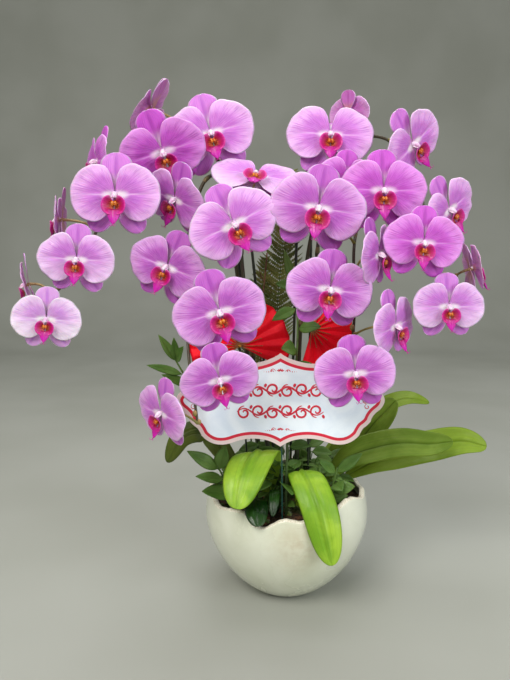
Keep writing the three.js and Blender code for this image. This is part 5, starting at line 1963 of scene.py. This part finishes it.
@dataclass
class Studio:
    """The camera at the photograph's viewing angle, soft lights and a plain floor.

    Attributes:
        camera_at: Place of the camera, in millimetres.
        pitch: How far it looks down, in degrees.
        focal_pixels: Focal length in pixels of a picture 510 wide and 680 high.
        picture_height: Height of that picture.
        sensor: Size of the sensor's long side, in millimetres.
        flat: Where the floor starts to turn up.
        turn: Radius of the turn.
        reach: How far the backdrop goes in every direction.
        sink: How far the floor lies below the pot's foot.
    """

    camera_at: Point = (-38.5, -732, 410)
    pitch: float = 8.0
    focal_pixels: float = 620.0
    picture_height: float = 680.0
    sensor: float = 36.0
    flat: float = 1800.0
    turn: float = 800.0
    reach: float = 4000.0
    sink: float = 0.05

    def camera(self) -> None:
        """Makes the camera."""
        data = bpy.data.cameras.new("camera")
        data.sensor_width = self.sensor
        data.lens = self.sensor * self.focal_pixels / self.picture_height
        data.clip_start = 0.01
        camera = new_object("camera", data)
        camera.location = Vector(self.camera_at) * MM
        camera.rotation_euler = (math.radians(90 - self.pitch), 0, 0)
        bpy.context.scene.camera = camera

    @staticmethod
    def light(name: str, at: Point, aim: Point, size: float, power: float, colour: Colour) -> None:
        """Makes a square soft light, with its places in metres and its power in watts."""
        data = bpy.data.lights.new(name, "AREA")
        data.shape = "SQUARE"
        data.size = size
        data.energy = power
        data.color = srgb(colour)[:3]
        lamp = new_object(name, data)
        lamp.location = at
        lamp.rotation_euler = (Vector(aim) - Vector(at)).to_track_quat("-Z", "Y").to_euler()

    def build(self) -> None:
        """Makes the camera, the lights, the world and the floor."""
        self.camera()
        middle = (0.0, -0.03, 0.36)
        self.light("key", (-0.8, -1.5, 1.7), middle, 1.0, 35, (255, 251, 246))
        self.light("fill", (1.3, -1.3, 0.9), middle, 1.1, 18, (250, 252, 255))
        self.light("top", (0.1, 0.3, 1.9), middle, 1.2, 16, (255, 255, 255))
        world = bpy.data.worlds.new("studio")
        world.use_nodes = True
        background = world.node_tree.nodes["Background"]
        background.inputs[0].default_value = srgb((204, 206, 202))
        background.inputs[1].default_value = 0.5
        bpy.context.scene.world = world
        bpy.context.scene.view_settings.view_transform = "Standard"
        self.backdrop()

    def backdrop(self) -> None:
        """Makes the floor and the wall behind it as one sheet, joined by a quarter circle.

        Its profile in y and z is flat, then flat + turn sin(a) and turn (1 - cos(a)) for a up to 90 degrees,
        then upright.
        """
        angle = np.radians(np.linspace(0, 90, 25))
        bend = np.stack([self.flat + self.turn * np.sin(angle), self.turn * (1 - np.cos(angle))], axis=-1)
        profile = np.vstack([[-self.reach, 0], bend, [self.flat + self.turn, self.reach]])
        profile[:, 1] -= self.sink
        ends = np.tile([-self.reach, self.reach], len(profile))
        points = np.column_stack([ends, np.repeat(profile, 2, axis=0)])
        first = 2 * np.arange(len(profile) - 1)
        faces = np.stack([first, first + 1, first + 3, first + 2], axis=-1)
        graph = Graph("floor")
        tone = graph.noise(graph.place(), 3.0, 2.0)
        colour = graph.mixed(graph.level(tone, 0.3, 0.7), (170, 172, 164), (161, 163, 154))
        mesh = bpy.data.meshes.new("floor")
        mesh.from_pydata((points * MM).tolist(), [], faces.tolist())
        mesh.shade_smooth()
        mesh.materials.append(graph.finish(colour, 0.8))
        floor = new_object("floor", mesh)


def make_finishes() -> Finishes:
    """Makes every material once, by name."""
    leaves = [
        LeafFinish("bright_leaf", (158, 194, 52), (112, 158, 24), (84, 126, 16)),
        LeafFinish("mid_leaf", (88, 116, 6), (58, 86, 4), (48, 74, 4)),
        LeafFinish("lime_leaf", (108, 136, 8), (74, 104, 4), (60, 90, 4)),
        LeafFinish("dark_leaf", (34, 72, 18), (12, 40, 8), (10, 34, 8), 0.1),
        LeafFinish("olive_leaf", (84, 98, 22), (46, 62, 12), (38, 52, 12)),
        LeafFinish("spray_leaf", (62, 98, 26), (26, 56, 14), (84, 114, 44), 0.26, True),
        LeafFinish("fern_leaf", (132, 148, 72), (82, 102, 44), (110, 126, 66), 0.55, True),
    ]
    finishes = {leaf.name: leaf.build() for leaf in leaves}
    for leaf in leaves[:-1]:
        paler = tuple(0.75 * c + 0.25 * g for c, g in zip(leaf.light, (170, 190, 120)))
        finishes[f"{leaf.name}_back"] = LeafFinish(
            f"{leaf.name}_back", paler, leaf.light, leaf.rib, 0.5, leaf.pinnate).build()
    stems = [
        StemFinish("spike", (44, 58, 30), (74, 66, 44), (58, 34, 36)),
        StemFinish("pedicel", (118, 122, 48), (190, 160, 104), (150, 110, 66)),
        StemFinish("sheath", (96, 96, 52), (132, 112, 74), (84, 66, 44), 0.6),
        StemFinish("cane", (26, 38, 24), (34, 48, 30), (52, 62, 40), 0.35),
        StemFinish("twig", (98, 68, 44), (120, 88, 60), (62, 42, 28), 0.8),
        StemFinish("green_stem", (48, 70, 30), (86, 116, 48), (40, 50, 24)),
    ]
    finishes.update({stem.name: stem.build() for stem in stems})
    for tone in (*(t.value for t in BloomTone), BACK):
        finishes[f"{tone.name}_petal"] = tone.petal()
        finishes[f"{tone.name}_sepal"] = tone.sepal()
    finishes.update({
        "lobes": LipFinish.lobes(), "middle": LipFinish.middle(), "callus": LipFinish.callus(),
        "column": LipFinish.column(), "glaze": PotFinish.glaze(), "clay": PotFinish.clay(),
        "mix": MixFinish.grain(), "bark": MixFinish.bark(), "moss": MixFinish.moss(),
        "paper": FanFinish.paper(), "bamboo": FanFinish.bamboo(), "rivet": FanFinish.rivet(),
        "card": CardFinish().build(), "ink": CardFinish.ink(), "wire": CardFinish.wire(),
    })
    return finishes


def main() -> None:
    logging.basicConfig(level=logging.INFO, format="%(message)s")
    Studio().build()
    finishes = make_finishes()
    pot = EggshellPot()
    pot.build(finishes)
    mix = PottingMix(pot)
    mix.fill(finishes)
    mix.litter(finishes)
    mix.foliage(finishes)
    Supports().build(finishes)
    bloom = Bloom()
    seed = FIRST_SEEDS["bloom"]
    for name, spike in SPIKES.items():
        spike.build(name, finishes)
        stem_name = name.removesuffix("_spike")
        for number, place in enumerate(spike.blooms, 1):
            seed += 1
            bloom.build(f"{stem_name}_flower_{number}", place, seed, finishes, f"{stem_name}_bloom_{number}")
    for index, (name, leaf) in enumerate(LEAVES.items()):
        leaf.build(name, FIRST_SEEDS["leaf"] + index, finishes)
    for name, spray in SPRAYS.items():
        spray.build(name, finishes)
    for index, (name, fern) in enumerate(FERNS.items()):
        fern.build(name, FIRST_SEEDS["fern"] + index, finishes)
    for name, fan in FANS.items():
        fan.build(name, finishes)
    card = GiftCard()
    card.plate(finishes)
    card.scrollwork(finishes)


if __name__ == "__main__":
    main()
